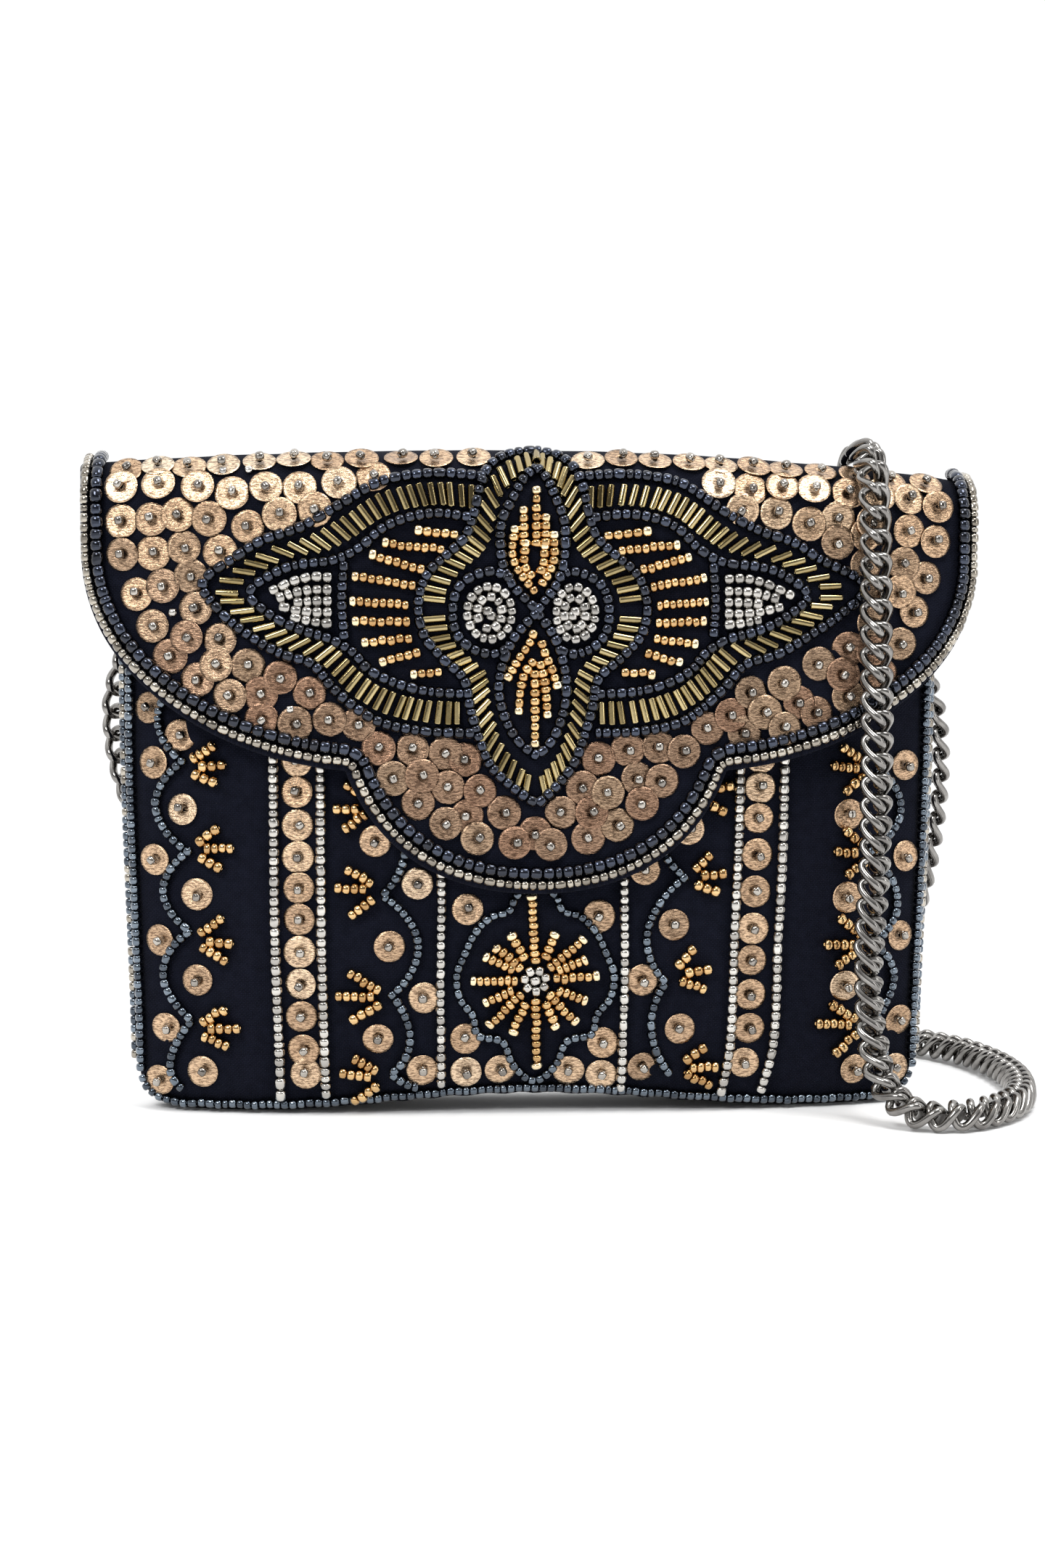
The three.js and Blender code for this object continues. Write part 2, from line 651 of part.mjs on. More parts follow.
function buildHardware() {
  const ringCentre = new THREE.Vector3(
    0,
    BAR_BACK + RING.bar * Math.sin(RING.tilt),
    BAR_Z - RING.bar * Math.cos(RING.tilt),
  );
  const bow = new THREE.Vector3(
    0,
    BAR_BACK + (RING.bar + RING.radius) * Math.sin(RING.tilt),
    BAR_Z - (RING.bar + RING.radius) * Math.cos(RING.tilt),
  );
  const plateBack = 4.6;
  for (const [name, side] of [['left', -1], ['right', 1]]) {
    const x = side * TAB_X;
    const place = (mesh, y, z) => mesh.position.set(x, SEAM_Y + y, z);
    place(add(`ring_tab_${name}`, tabGeometry(BAR_BACK - plateBack), 'canvas'), plateBack, BAR_Z);
    const ring = add(`d_ring_${name}`, ringGeometry(), 'gunmetal');
    ring.rotation.x = RING.tilt;
    place(ring, ringCentre.y, ringCentre.z);
    const hook = hookGeometry();
    place(add(`clasp_hook_${name}`, hook.geometry, 'gunmetal'), bow.y, bow.z);
    place(add(`clasp_gate_${name}`, gateGeometry(hook.centreZ), 'gunmetal'), bow.y, bow.z);
    place(add(`clasp_eye_${name}`, eyeGeometry(hook.bottom), 'gunmetal'), bow.y, bow.z);
  }
}

// ---------------------------------------------------------------- chain strap

// Middle line of the chain from the left eye to the right eye: behind the back panel, over the top
// near the right end, down the front, round on the surface and up to the right eye.
const CHAIN_ROUTE = [
  [-108, 18.4, 123.6], [-109, 18.6, 104], [-105, 19.2, 82], [-94, 20.3, 60], [-76, 21.4, 44.5],
  [-50, 22.2, 36], [-22, 22.4, 38], [8, 22.4, 51.5], [34, 22, 74], [55, 21, 102], [71, 19.1, 132],
  [81, 17.4, 156], [86.2, 16.2, 169], [88.6, 12, 179.2], [89, 0, 182.4], [88.6, -10.8, 177.7],
  [88.3, -18, 167], [88.3, -20.8, 152], [88.4, -22.3, 131], [89, -23.6, 100], [88.6, -24, 66],
  [87.2, -24.5, 40], [88.6, -26.4, 21], [92, -32, 9.5], [98.5, -40.3, 4.6], [109, -43, 4.5],
  [120, -35, 4.5], [130, -18.5, 4.5], [136, 4, 4.5], [135.5, 28, 4.5], [128.5, 50, 4.5],
  [114, 66, 4.5], [97, 66.5, 4.5], [87.5, 54, 5.8], [90.5, 41, 12], [99.5, 30.5, 25],
  [107.5, 23.6, 45], [112.5, 19.7, 74], [113, 18.7, 102], [108, 18.4, 123.6],
].map(([x, y, z]) => new THREE.Vector3(x, y, z));
// Where the chain is divided into pieces, as shares of its length, and each piece's bends.
const CHAIN_PIECES = [
  { name: 'chain_back_run', from: 0, to: 0.365, steps: 24 },
  { name: 'chain_front_drape', from: 0.365, to: 0.575, steps: 16 },
  { name: 'chain_floor_loop', from: 0.575, to: 0.91, steps: 30 },
  { name: 'chain_right_run', from: 0.91, to: 1, steps: 7 },
];

function buildChain() {
  const route = new THREE.CatmullRomCurve3(CHAIN_ROUTE, false, 'centripetal');
  route.arcLengthDivisions = 1200;
  const length = route.getLength();
  const halfGap = LAYER_GAP / length;
  for (const { name, from, to, steps } of CHAIN_PIECES) {
    const points = Array.from({ length: steps + 1 }, (_, i) => (
      route.getPointAt(THREE.MathUtils.lerp(from + halfGap, to - halfGap, i / steps))
    ));
    add(name, tube(points, CHAIN_WIDTH / 2, 8, steps), 'gunmetal');
  }
}

buildBody();
buildFlap();
buildFlapBeads();
buildPanelBeads();
buildSnap();
buildHardware();
buildChain();

export default clutch;
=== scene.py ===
"""Looks of a bead-worked envelope clutch with a chain strap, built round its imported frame.

Lengths are in millimetres until a mesh is made. The front faces -Y and +Z is up.
"""

import math

import bpy
import numpy as np
from mathutils import Matrix, Vector, geometry, kdtree


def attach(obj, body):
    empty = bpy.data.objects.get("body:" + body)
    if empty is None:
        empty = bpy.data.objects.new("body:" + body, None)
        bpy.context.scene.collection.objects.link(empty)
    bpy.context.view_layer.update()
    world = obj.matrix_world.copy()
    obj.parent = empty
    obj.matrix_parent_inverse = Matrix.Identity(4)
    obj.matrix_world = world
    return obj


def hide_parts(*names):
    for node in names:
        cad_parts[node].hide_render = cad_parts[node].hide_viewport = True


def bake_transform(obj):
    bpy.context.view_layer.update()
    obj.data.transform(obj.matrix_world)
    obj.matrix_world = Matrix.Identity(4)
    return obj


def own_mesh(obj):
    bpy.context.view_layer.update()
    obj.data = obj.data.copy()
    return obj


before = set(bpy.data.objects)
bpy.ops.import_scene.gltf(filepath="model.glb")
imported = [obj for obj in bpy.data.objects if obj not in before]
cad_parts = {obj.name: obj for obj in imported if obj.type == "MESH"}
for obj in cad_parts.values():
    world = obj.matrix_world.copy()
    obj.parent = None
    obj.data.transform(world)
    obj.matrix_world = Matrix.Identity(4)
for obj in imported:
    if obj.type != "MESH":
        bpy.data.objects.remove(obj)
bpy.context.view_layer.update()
MM = 0.001
rng = np.random.default_rng(11)

# ------------------------------------------------------------------ camera

CAMERA_TARGET = (-2.5, 0.0, 87.3)
CAMERA_DISTANCE = 650.0
CAMERA_YAW, CAMERA_ELEVATION, CAMERA_ROLL = (math.radians(a) for a in (4.0, 4.8, 0.25))
SENSOR = 36.0
FOCAL_PIXELS, FRAME_PIXELS = 3325.0, 2161.0


def make_camera():
    """A camera to the left of the bag's middle and a little above it."""
    camera = bpy.data.objects.new("camera", bpy.data.cameras.new("camera"))
    bpy.context.scene.collection.objects.link(camera)
    level = math.cos(CAMERA_ELEVATION)
    forward = Vector((
        math.sin(CAMERA_YAW) * level,
        math.cos(CAMERA_YAW) * level,
        -math.sin(CAMERA_ELEVATION),
    ))
    camera.location = (Vector(CAMERA_TARGET) - forward * CAMERA_DISTANCE) * MM
    turn = forward.to_track_quat("-Z", "Y") @ Matrix.Rotation(CAMERA_ROLL, 4, "Z").to_quaternion()
    camera.rotation_mode = "QUATERNION"
    camera.rotation_quaternion = turn
    camera.data.sensor_width = SENSOR
    camera.data.lens = FOCAL_PIXELS / FRAME_PIXELS * SENSOR
    camera.data.clip_start, camera.data.clip_end = 0.01, 50
    bpy.context.scene.camera = camera


# ------------------------------------------------------------------ curves


def smooth_line(points, closed=False, steps=16):
    """Points along a centripetal Catmull-Rom curve through the given ones."""
    p = np.asarray(points, float)
    ends = (p[-1:], p[:2]) if closed else (2 * p[:1] - p[1:2], 2 * p[-1:] - p[-2:-1])
    p = np.vstack([ends[0], p, ends[1]])
    t = np.linspace(0, 1, steps, endpoint=False)[:, None]
    out = []
    for a, b, c, d in zip(p, p[1:], p[2:], p[3:]):
        u, v, w = (max(np.linalg.norm(q - r), 1e-6) ** 0.5 for q, r in ((b, a), (c, b), (d, c)))
        into = ((b - a) / u - (c - a) / (u + v) + (c - b) / v) * v
        away = ((c - b) / v - (d - b) / (v + w) + (d - c) / w) * v
        out.append(
            b * (2 * t**3 - 3 * t**2 + 1) + into * (t**3 - 2 * t**2 + t)
            + c * (3 * t**2 - 2 * t**3) + away * (t**3 - t**2)
        )
    out.append(p[-2:-1])
    return np.vstack(out)


def lengths(line):
    return np.concatenate([[0], np.cumsum(np.linalg.norm(np.diff(line, axis=0), axis=1))])


def along(line, at):
    """Points on a line at the given lengths from its start."""
    run = lengths(line)
    return np.column_stack([np.interp(at, run, line[:, k]) for k in range(line.shape[1])])


def spaced(line, step):
    total = lengths(line)[-1]
    return along(line, np.linspace(0, total, max(2, round(total / step) + 1)))


def unit(vectors):
    """The same vectors, as rows or in a grid, each brought to length 1."""
    return vectors / np.maximum(np.linalg.norm(vectors, axis=-1), 1e-9)[..., None]


def mirrored(points):
    return [(-x, *rest) for x, *rest in points]


def smoothstep(value, start, end):
    t = np.clip((value - start) / (end - start), 0, 1)
    return t * t * (3 - 2 * t)


def ripple(x, z, wavelength, seed, count=7):
    """A smooth random field between about -1 and 1, the same on every run."""
    pick = np.random.default_rng(seed)
    total = 0
    for _ in range(count):
        angle, phase = pick.uniform(0, 2 * math.pi, 2)
        size = 2 * math.pi / (wavelength * pick.uniform(0.7, 1.4))
        total = total + np.sin(size * (x * math.cos(angle) + z * math.sin(angle)) + phase)
    return total / math.sqrt(count) / 1.4


# ------------------------------------------------------------------ meshes


def mesh_object(name, points, faces, material, uv=None, tint=None, smooth=True, sharp=None):
    """A mesh from points in millimetres and a list of (n, 3) or (n, 4) face arrays."""
    mesh = bpy.data.meshes.new(name)
    points = np.asarray(points, float) * MM
    faces = [np.asarray(f, int) for f in faces if len(f)]
    corners = np.concatenate([f.ravel() for f in faces])
    sizes = np.concatenate([np.full(len(f), f.shape[1]) for f in faces])
    mesh.vertices.add(len(points))
    mesh.vertices.foreach_set("co", points.ravel())
    mesh.loops.add(len(corners))
    mesh.loops.foreach_set("vertex_index", corners)
    mesh.polygons.add(len(sizes))
    mesh.polygons.foreach_set("loop_start", np.concatenate([[0], np.cumsum(sizes)[:-1]]))
    mesh.polygons.foreach_set("use_smooth", np.full(len(sizes), smooth))
    if uv is not None:
        layer = mesh.uv_layers.new(name="cloth")
        layer.data.foreach_set("uv", np.asarray(uv, float)[corners].ravel())
    if tint is not None:
        attribute = mesh.attributes.new("tint", "FLOAT", "POINT")
        attribute.data.foreach_set("value", np.asarray(tint, np.float32))
    mesh.update(calc_edges=True)
    mesh.validate()
    if sharp is not None:
        mesh.set_sharp_from_angle(angle=math.radians(sharp))
    mesh.materials.append(material)
    obj = bpy.data.objects.new(name, mesh)
    bpy.context.scene.collection.objects.link(obj)
    return obj


def grid_faces(rows, columns, closed=False):
    """Quads of a grid of rows x columns points; closed joins the last column to the first."""
    r, c = np.meshgrid(np.arange(rows - 1), np.arange(columns if closed else columns - 1), indexing="ij")
    n = (c + 1) % columns
    a, b = r * columns + c, r * columns + n
    return np.stack([a, b, b + columns, a + columns], -1).reshape(-1, 4)


def turned(profile, sides):
    """Points and quads of a closed ring profile of (height, radius) turned round +X."""
    angle = np.arange(sides) * 2 * math.pi / sides
    p = np.asarray(profile, float)
    points = np.stack([
        np.repeat(p[:, 0], sides),
        (p[:, 1:] * np.cos(angle)).ravel(),
        (p[:, 1:] * np.sin(angle)).ravel(),
    ], -1)
    count = len(p)
    faces = grid_faces(count + 1, sides, closed=True) % (count * sides)
    return points, faces


SWEEP_START = (0.3, 0.9, 0.25)  # any direction that no wire starts along
END_BULGE = 0.35  # how far the ends of an open wire stand out, as a share of its radius


def swept(line, radius, sides, closed=False):
    """Points and faces of a round wire along a line of points."""
    line = np.asarray(line, float)
    count = len(line)
    if closed:
        tangent = np.roll(line, -1, 0) - np.roll(line, 1, 0)
    else:
        tangent = np.gradient(line, axis=0)
    tangent = unit(tangent)
    normal = np.cross(tangent[0], SWEEP_START)
    normals = []
    for t in tangent:
        normal = normal - t * (normal @ t)
        normal /= np.linalg.norm(normal)
        normals.append(normal)
    normals = np.array(normals)
    if closed:
        side = np.cross(tangent[0], normals[0])
        last = normals[-1] - tangent[0] * (normals[-1] @ tangent[0])
        twist = math.atan2(last @ side, last @ normals[0])
        back = -twist * np.arange(count) / (count - 1)
        normals = normals * np.cos(back)[:, None] + np.cross(tangent, normals) * np.sin(back)[:, None]
    across = np.cross(tangent, normals)
    angle = np.arange(sides) * 2 * math.pi / sides
    radius = np.broadcast_to(radius, count)[:, None, None]
    points = line[:, None] + radius * (
        normals[:, None] * np.cos(angle)[None, :, None] + across[:, None] * np.sin(angle)[None, :, None]
    )
    points = points.reshape(-1, 3)
    if closed:
        return points, [grid_faces(count + 1, sides, closed=True)[:, ::-1] % (count * sides)]
    faces = [grid_faces(count, sides, closed=True)[:, ::-1]]
    tips = line[0] - tangent[0] * radius[0, 0] * END_BULGE, line[-1] + tangent[-1] * radius[-1, 0] * END_BULGE
    points = np.vstack([points, *tips])
    ring = np.arange(sides)
    start, end = count * sides, count * sides + 1
    faces.append(np.stack([np.full(sides, start), ring, (ring + 1) % sides], -1)[:, ::-1])
    last = ring + (count - 1) * sides
    faces.append(np.stack([np.full(sides, end), (ring + 1) % sides + (count - 1) * sides, last], -1)[:, ::-1])
    return points, faces


def gathered(parts):
    """Several (points, faces) as one."""
    points, faces, base = [], {3: [], 4: []}, 0
    for p, fs in parts:
        for f in fs:
            faces[f.shape[1]].append(f + base)
        points.append(p)
        base += len(p)
    return np.vstack(points), [np.vstack(f) for f in faces.values() if f]


def copies(shape, frames):
    """One closed shape put at many frames. A frame is (place, tangent, normal, scale)."""
    points, faces = shape
    place = np.array([f[0] for f in frames])
    x = np.array([f[1] for f in frames], float)
    z = np.array([f[2] for f in frames], float)
    scale = np.array([f[3] for f in frames], float)
    x = unit(x - z * np.sum(x * z, 1)[:, None])
    y = np.cross(z, x)
    basis = np.stack([x, y, z], 1) * scale[:, :, None]
    placed = np.einsum("pk,nkj->npj", points, basis) + place[:, None]
    offset = np.arange(len(frames))[:, None, None] * len(points)
    return placed.reshape(-1, 3), [(faces[None] + offset).reshape(-1, faces.shape[1])]


def shown_as(obj, body, slot, *nodes):
    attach(obj, body)
    if nodes:
        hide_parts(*nodes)
    return obj


# ------------------------------------------------------------------ materials


class Look:
    """A node material: a Principled shader with what is wired into it."""

    def __init__(self, name, **sockets):
        self.material = bpy.data.materials.new(name)
        self.material.use_nodes = True
        self.tree = self.material.node_tree
        self.shader = self.tree.nodes["Principled BSDF"]
        for socket, value in sockets.items():
            self.shader.inputs[socket.replace("_", " ")].default_value = value

    def node(self, kind, values=(), **settings):
        made = self.tree.nodes.new("ShaderNode" + kind)
        for key, value in settings.items():
            setattr(made, key, value)
        for key, value in dict(values).items():
            if hasattr(value, "links") or isinstance(value, bpy.types.NodeSocket):
                self.tree.links.new(value, made.inputs[key])
            else:
                made.inputs[key].default_value = value
        return made

    def math(self, operation, a, b=0.0):
        """A maths node. MULTIPLY_ADD adds the 0.5 that its third socket holds by default."""
        return self.node("Math", {0: a, 1: b}, operation=operation).outputs[0]

    def plus(self, a, b):
        return self.math("ADD", a, b)

    def times(self, a, b):
        return self.math("MULTIPLY", a, b)

    def cloth(self):
        """The mesh's own cloth directions, in millimetres."""
        return self.node("UVMap", uv_map="cloth").outputs["UV"]

    def stretched(self, vector, scale, **values):
        return self.node("Mapping", {"Vector": vector, **values, "Scale": scale}).outputs["Vector"]

    def place(self):
        return self.node("TexCoord").outputs["Object"]

    def noise(self, scale, detail, at=None):
        """Noise whose grains are about 1/scale metres across."""
        values = {"Vector": at or self.place(), "Scale": scale, "Detail": detail}
        return self.node("TexNoise", values).outputs["Fac"]

    def ramp(self, value, *stops):
        made = self.node("ValToRGB", {"Fac": value})
        elements = made.color_ramp.elements
        while len(elements) < len(stops):
            elements.new(0.5)
        for element, (at, color) in zip(elements, stops):
            element.position = at
            element.color = (*color, 1)
        return made.outputs["Color"]

    def tint(self):
        return self.node("Attribute", attribute_name="tint").outputs["Fac"]

    def into(self, socket, value):
        self.tree.links.new(value, self.shader.inputs[socket])

    def bump(self, height, distance, strength=1.0):
        made = self.node("Bump", {"Height": height, "Distance": distance, "Strength": strength})
        self.into("Normal", made.outputs["Normal"])


def woven(name, dark, light, thread, relief, sheen):
    """A plain weave drawn along the cloth directions, with threads and relief in millimetres."""
    look = Look(name, Roughness=0.92, Sheen_Weight=sheen, Sheen_Roughness=0.45, Specular_IOR_Level=0.06)
    uv = look.cloth()
    drift = look.noise(0.35, 2.0, uv)
    split = look.node("SeparateXYZ", {"Vector": uv})
    u = look.plus(split.outputs["X"], look.times(drift, 0.5))
    v = look.plus(split.outputs["Y"], look.times(drift, 0.4))
    turn = math.pi / thread
    su, sv = (look.math("SINE", look.times(way, turn)) for way in (u, v))
    over = look.times(su, sv)
    warp = look.times(look.math("ABSOLUTE", su), look.math("MULTIPLY_ADD", over, 0.5))
    weave = look.plus(warp, look.times(look.math("ABSOLUTE", sv), look.math("SUBTRACT", 0.6, over)))
    grain = look.noise(1.6, 4.0, uv)
    height = look.plus(weave, look.times(grain, 0.6))
    # Lighter on the raised threads and darker between them, which is painted shade of the weave; the drift adds a
    # random change of tone.
    color = look.plus(look.times(height, 0.35), look.times(drift, 0.5))
    look.into("Base Color", look.ramp(color, (0.15, dark), (0.85, light)))
    look.bump(height, relief * MM, 0.8)
    return look.material


def glass_bead(name, dark, light, roughness, coat=0.6):
    """Metallic-lined seed beads: every bead has its own tint and slightly uneven skin."""
    look = Look(name, Metallic=1.0, Roughness=roughness, Coat_Weight=coat, Coat_Roughness=0.05)
    skin = look.noise(900.0, 2.0)
    mixed = look.plus(look.times(look.tint(), 0.8), look.times(skin, 0.25))
    look.into("Base Color", look.ramp(mixed, (0.1, dark), (0.9, light)))
    look.bump(look.noise(1400.0, 2.0), 0.05 * MM, 0.5)
    return look.material


def crinkled(name):
    """Sequins of metallised film with a fine stretched crinkle, from coppery to pale gold. The crinkle is also painted
    into the colour: painted shade in its hollows and painted glints on its ridges.
    """
    look = Look(name, Metallic=1.0, Roughness=0.3, Coat_Weight=0.1, Coat_Roughness=0.2)
    at = look.place()
    warp = look.stretched(at, (0.55, 1.0, 1.9), Rotation=(0, 0.5, 0))
    ridges = look.noise(1500.0, 2.5, warp)
    grain = look.noise(4200.0, 2.0, warp)
    crinkle_height = look.plus(look.times(ridges, 0.75), look.times(grain, 0.3))
    base = look.ramp(
        look.tint(), (0.0, (0.34, 0.205, 0.14)), (0.3, (0.37, 0.26, 0.18)),
        (0.65, (0.62, 0.43, 0.285)), (0.85, (0.80, 0.59, 0.41)), (1.0, (0.97, 0.84, 0.67)),
    )
    # Painted shade and painted glints: the colour darkens in the crinkle's hollows and stays at the lighter base on
    # its ridges, following the same height as the bump.
    shade = look.ramp(crinkle_height, (0.43, (0.16, 0.12, 0.09)), (0.60, (1.0, 0.98, 0.92)))
    mix = look.node("MixRGB", {"Fac": 0.8, "Color1": base, "Color2": shade}, blend_type="MULTIPLY")
    look.into("Base Color", mix.outputs["Color"])
    look.into("Roughness", look.plus(look.times(grain, 0.22), 0.13))
    look.bump(crinkle_height, 0.2 * MM, 1.0)
    return look.material


def plated(name, dark, light, roughness, scratch=0.3):
    """Plated metal: fine scratches and a slight clouding of the plating."""
    look = Look(name, Metallic=1.0)
    at = look.place()
    cloud = look.noise(260.0, 4.0, at)
    fine = look.noise(2600.0, 3.0, look.stretched(at, (1, 1, 6)))
    look.into("Base Color", look.ramp(cloud, (0.3, dark), (0.7, light)))
    rough = look.plus(look.times(fine, scratch * 0.3), roughness)
    look.into("Roughness", rough)
    look.bump(fine, 0.02 * MM, scratch)
    return look.material


def satin(name):
    """Lining cloth with long soft streaks across it."""
    look = Look(name, Roughness=0.5, Sheen_Weight=0.1, Specular_IOR_Level=0.35)
    uv = look.cloth()
    streak = look.noise(1.5, 3.0, look.stretched(uv, (0.35, 3, 1)))
    look.into("Base Color", look.ramp(streak, (0.3, (0.009, 0.010, 0.016)), (0.7, (0.021, 0.022, 0.032))))
    look.into("Roughness", look.math("MULTIPLY_ADD", streak, 0.3))
    look.bump(streak, 0.06 * MM, 0.5)
    return look.material


def felted(name, dark, light):
    """Matted fibres, for wadding and for stiffener."""
    look = Look(name, Roughness=1.0, Sheen_Weight=0.3)
    fibre = look.noise(900.0, 6.0)
    look.into("Base Color", look.ramp(fibre, (0.35, dark), (0.65, light)))
    look.bump(fibre, 0.4 * MM)
    return look.material


def sewing_thread(name):
    """Dark thread with a fine ply."""
    look = Look(name, Roughness=0.6, Sheen_Weight=0.3)
    ply = look.noise(2500.0, 2.0)
    look.into("Base Color", look.ramp(ply, (0.3, (0.012, 0.013, 0.02)), (0.7, (0.05, 0.05, 0.07))))
    look.bump(ply, 0.05 * MM)
    return look.material


CANVAS = woven("canvas", (0.0008, 0.0010, 0.0024), (0.0072, 0.0085, 0.0165), 0.5, 0.17, 0.015)
WEBBING = woven("webbing", (0.006, 0.006, 0.010), (0.028, 0.028, 0.040), 0.8, 0.25, 0.15)
LINING = satin("lining")
WADDING = felted("wadding", (0.30, 0.29, 0.27), (0.55, 0.54, 0.50))
INTERLINING = felted("interlining", (0.035, 0.034, 0.033), (0.09, 0.088, 0.085))
THREAD_LOOK = sewing_thread("thread")
NAVY = glass_bead("navy_beads", (0.003, 0.005, 0.012), (0.024, 0.033, 0.058), 0.12, coat=0.8)
STEEL = glass_bead("steel_blue_beads", (0.026, 0.037, 0.053), (0.14, 0.175, 0.215), 0.14, coat=0.8)
PEWTER = glass_bead("pewter_beads", (0.14, 0.122, 0.098), (0.45, 0.41, 0.345), 0.15)
SILVER = glass_bead("silver_beads", (0.30, 0.285, 0.265), (0.62, 0.60, 0.56), 0.16)
GOLD = glass_bead("gold_beads", (0.34, 0.185, 0.062), (0.68, 0.45, 0.205), 0.15)
DULL_SILVER = glass_bead("dull_silver_beads", (0.21, 0.20, 0.185), (0.47, 0.45, 0.42), 0.16)
PALE_GOLD = glass_bead("pale_gold_beads", (0.66, 0.48, 0.27), (0.90, 0.76, 0.50), 0.16)
BRASS = glass_bead("brass_bugles", (0.16, 0.118, 0.042), (0.44, 0.35, 0.17), 0.09)
SMOKE = glass_bead("gunmetal_beads", (0.14, 0.125, 0.11), (0.40, 0.37, 0.33), 0.13)
BRONZE = crinkled("sequin_film")
GUNMETAL = plated("gunmetal", (0.115, 0.108, 0.10), (0.21, 0.20, 0.19), 0.16)
CHAIN_METAL = plated("chain_gunmetal", (0.15, 0.142, 0.135), (0.30, 0.29, 0.275), 0.13, 0.2)
NICKEL = plated("nickel", (0.42, 0.42, 0.43), (0.62, 0.62, 0.62), 0.22)
MAGNET = plated("magnet", (0.05, 0.05, 0.055), (0.10, 0.10, 0.11), 0.4)

# ------------------------------------------------------------------ body surfaces

SEAM_Y, SEAM_GAP = 3.91, 0.15  # depth of the seam plane, and of the gap between it and each half
BODY_HALF, BODY_HALF_BASE, BASE_CORNER = 108.0, 105.5, 10.0  # half widths at mouth and foot, corner radius
ARCH_RISE, ARCH_HALF = 4.5, 78.0  # the foot's arch between its two corners
LEFT_DROOP, RIGHT_DROOP, FLAP_HALF = 4.3, 7.6, 119.0  # how far each end of the top hangs lower
# Side view of each half from its foot up, as (height, depth from the seam plane).
FRONT_ROWS = [
    (0, 0), (0, 5.5), (0, 11), (2.2, 14), (8, 16.5), (22, 18.3), (45, 19.4),
    (70, 19.2), (95, 18), (120, 16.4), (142, 14.6), (158, 13),
]
BACK_ROWS = [
    (0, 0), (0, 4.7), (0, 9.5), (2.6, 12), (9, 13), (40, 13.2), (80, 13),
    (120, 12.3), (150, 11), (164, 10.3), (172, 9.5),
]
# Thickness of each layer, and how deep under the canvas's outer face it starts.
CANVAS_THICK, FOAM_THICK, LINING_THICK, BOARD_THICK = 1.0, 1.6, 0.5, 0.8
FOAM_IN, LINING_IN, BOARD_IN, FLAP_LINING_IN = 1.3, 3.2, 1.3, 2.4


class Profile:
    """A side view line of (height, depth) rows with its outward normals, by length along it."""

    def __init__(self, rows, step, outward):
        self.line = spaced(smooth_line(rows), step)
        self.line[:, 0] = np.maximum(self.line[:, 0], 0)
        self.run = lengths(self.line)
        self.total = self.run[-1]
        slope = unit(np.gradient(self.line, axis=0))
        self.normal = np.stack([-slope[:, 1], slope[:, 0]], -1) * outward

    def at(self, s):
        z, d = (np.interp(s, self.run, self.line[:, k]) for k in (0, 1))
        nz, nd = (np.interp(s, self.run, self.normal[:, k]) for k in (0, 1))
        size = np.hypot(nz, nd)
        return z, d, nz / size, nd / size


FRONT, BACK = Profile(FRONT_ROWS, 0.8, 1.0), Profile(BACK_ROWS, 0.8, 1.0)


def fullness(share):
    """How much of its full depth the stuffed body has at a share of its half width."""
    return np.sqrt(np.maximum(0, 1 - np.abs(share) ** 3))


def body_half(z):
    """Half the body's width at a height."""
    corner = np.clip(BASE_CORNER - z, 0, BASE_CORNER)
    rounding = BASE_CORNER - np.sqrt(BASE_CORNER**2 - corner**2)
    return BODY_HALF_BASE + (BODY_HALF - BODY_HALF_BASE) * smoothstep(z, 0, 110) - rounding


def arch(x, z):
    """How far the foot is lifted off the floor between its corners."""
    lift = ARCH_RISE * np.cos(math.pi * x / (2 * ARCH_HALF)) ** 2 * (1 - smoothstep(z, 0, 45))
    return np.where(np.abs(x) < ARCH_HALF, lift, 0)


def droop(x, z):
    """How far the upper part hangs lower towards its ends, more on the right."""
    return np.where(x < 0, LEFT_DROOP, RIGHT_DROOP) * (x / FLAP_HALF) ** 2 * smoothstep(z, 100, 160)


def body_point(side, share, s, inset=0.0):
    """A point of the body: side -1 is the front, share the place across and s up the profile."""
    z, depth, nz, nd = (FRONT if side < 0 else BACK).at(s)
    x = (body_half(z) - inset) * share
    inner = np.maximum(0, depth - nd * inset) * fullness(share)
    y = SEAM_Y + side * (SEAM_GAP + inner)
    return np.stack([x, y, z - nz * inset + arch(x, z) - droop(x, z)], -1)


def body_s(side, x, z):
    """The length up the profile of the surface point seen at (x, z)."""
    profile = FRONT if side < 0 else BACK
    height = np.asarray(z, float)
    for _ in range(4):
        height = z - arch(x, height) + droop(x, height)
    above = profile.line[:, 0] > 1e-6
    return np.interp(height, profile.line[above, 0], profile.run[above]), height


# Where bead rows pull the canvas in: on the panel as (x, z) of the front view, on the flap as (x, length down it).
stitched_panel, stitched_flap = [], []


def panel_waves(x, z, side):
    """How far the stuffed body's fabric stands out or in, from its puckers and soft hollows."""
    reach = body_half(np.clip(z, 0, 170)) - np.abs(x)
    wave = 0.45 * ripple(x, z, 46, 3 + side) + 0.16 * ripple(x, z, 17, 8 + side)
    pucker = 0.34 * np.exp(-np.maximum(reach, 0) / 7) * np.sin(z * 0.78 + 1.6 * ripple(x, z, 30, 21))
    foot = 0.30 * np.exp(-np.maximum(z - 2, 0) / 6) * np.sin(x * 0.66 + 1.6 * ripple(x, z, 36, 22))
    edge = smoothstep(reach, 0.5, 7) * 0.9 + 0.1
    return (wave * smoothstep(z, 1, 14) + pucker + foot * smoothstep(z, 0.5, 3)) * edge


def surface_frames(point, u, v):
    """Positions and unit normals, away from the bag's middle, of a surface point(u, v)."""
    here = point(u, v)
    e = 0.4
    du = point(u + e, v) - point(u - e, v)
    dv = point(u, v + e) - point(u, v - e)
    normal = unit(np.cross(du, dv))
    out = here - np.stack([here[..., 0], np.full(here.shape[:-1], 4.0), np.minimum(here[..., 2], 150)], -1)
    normal *= np.sign(np.sum(normal * out, -1) + 1e-9)[..., None]
    return here, normal


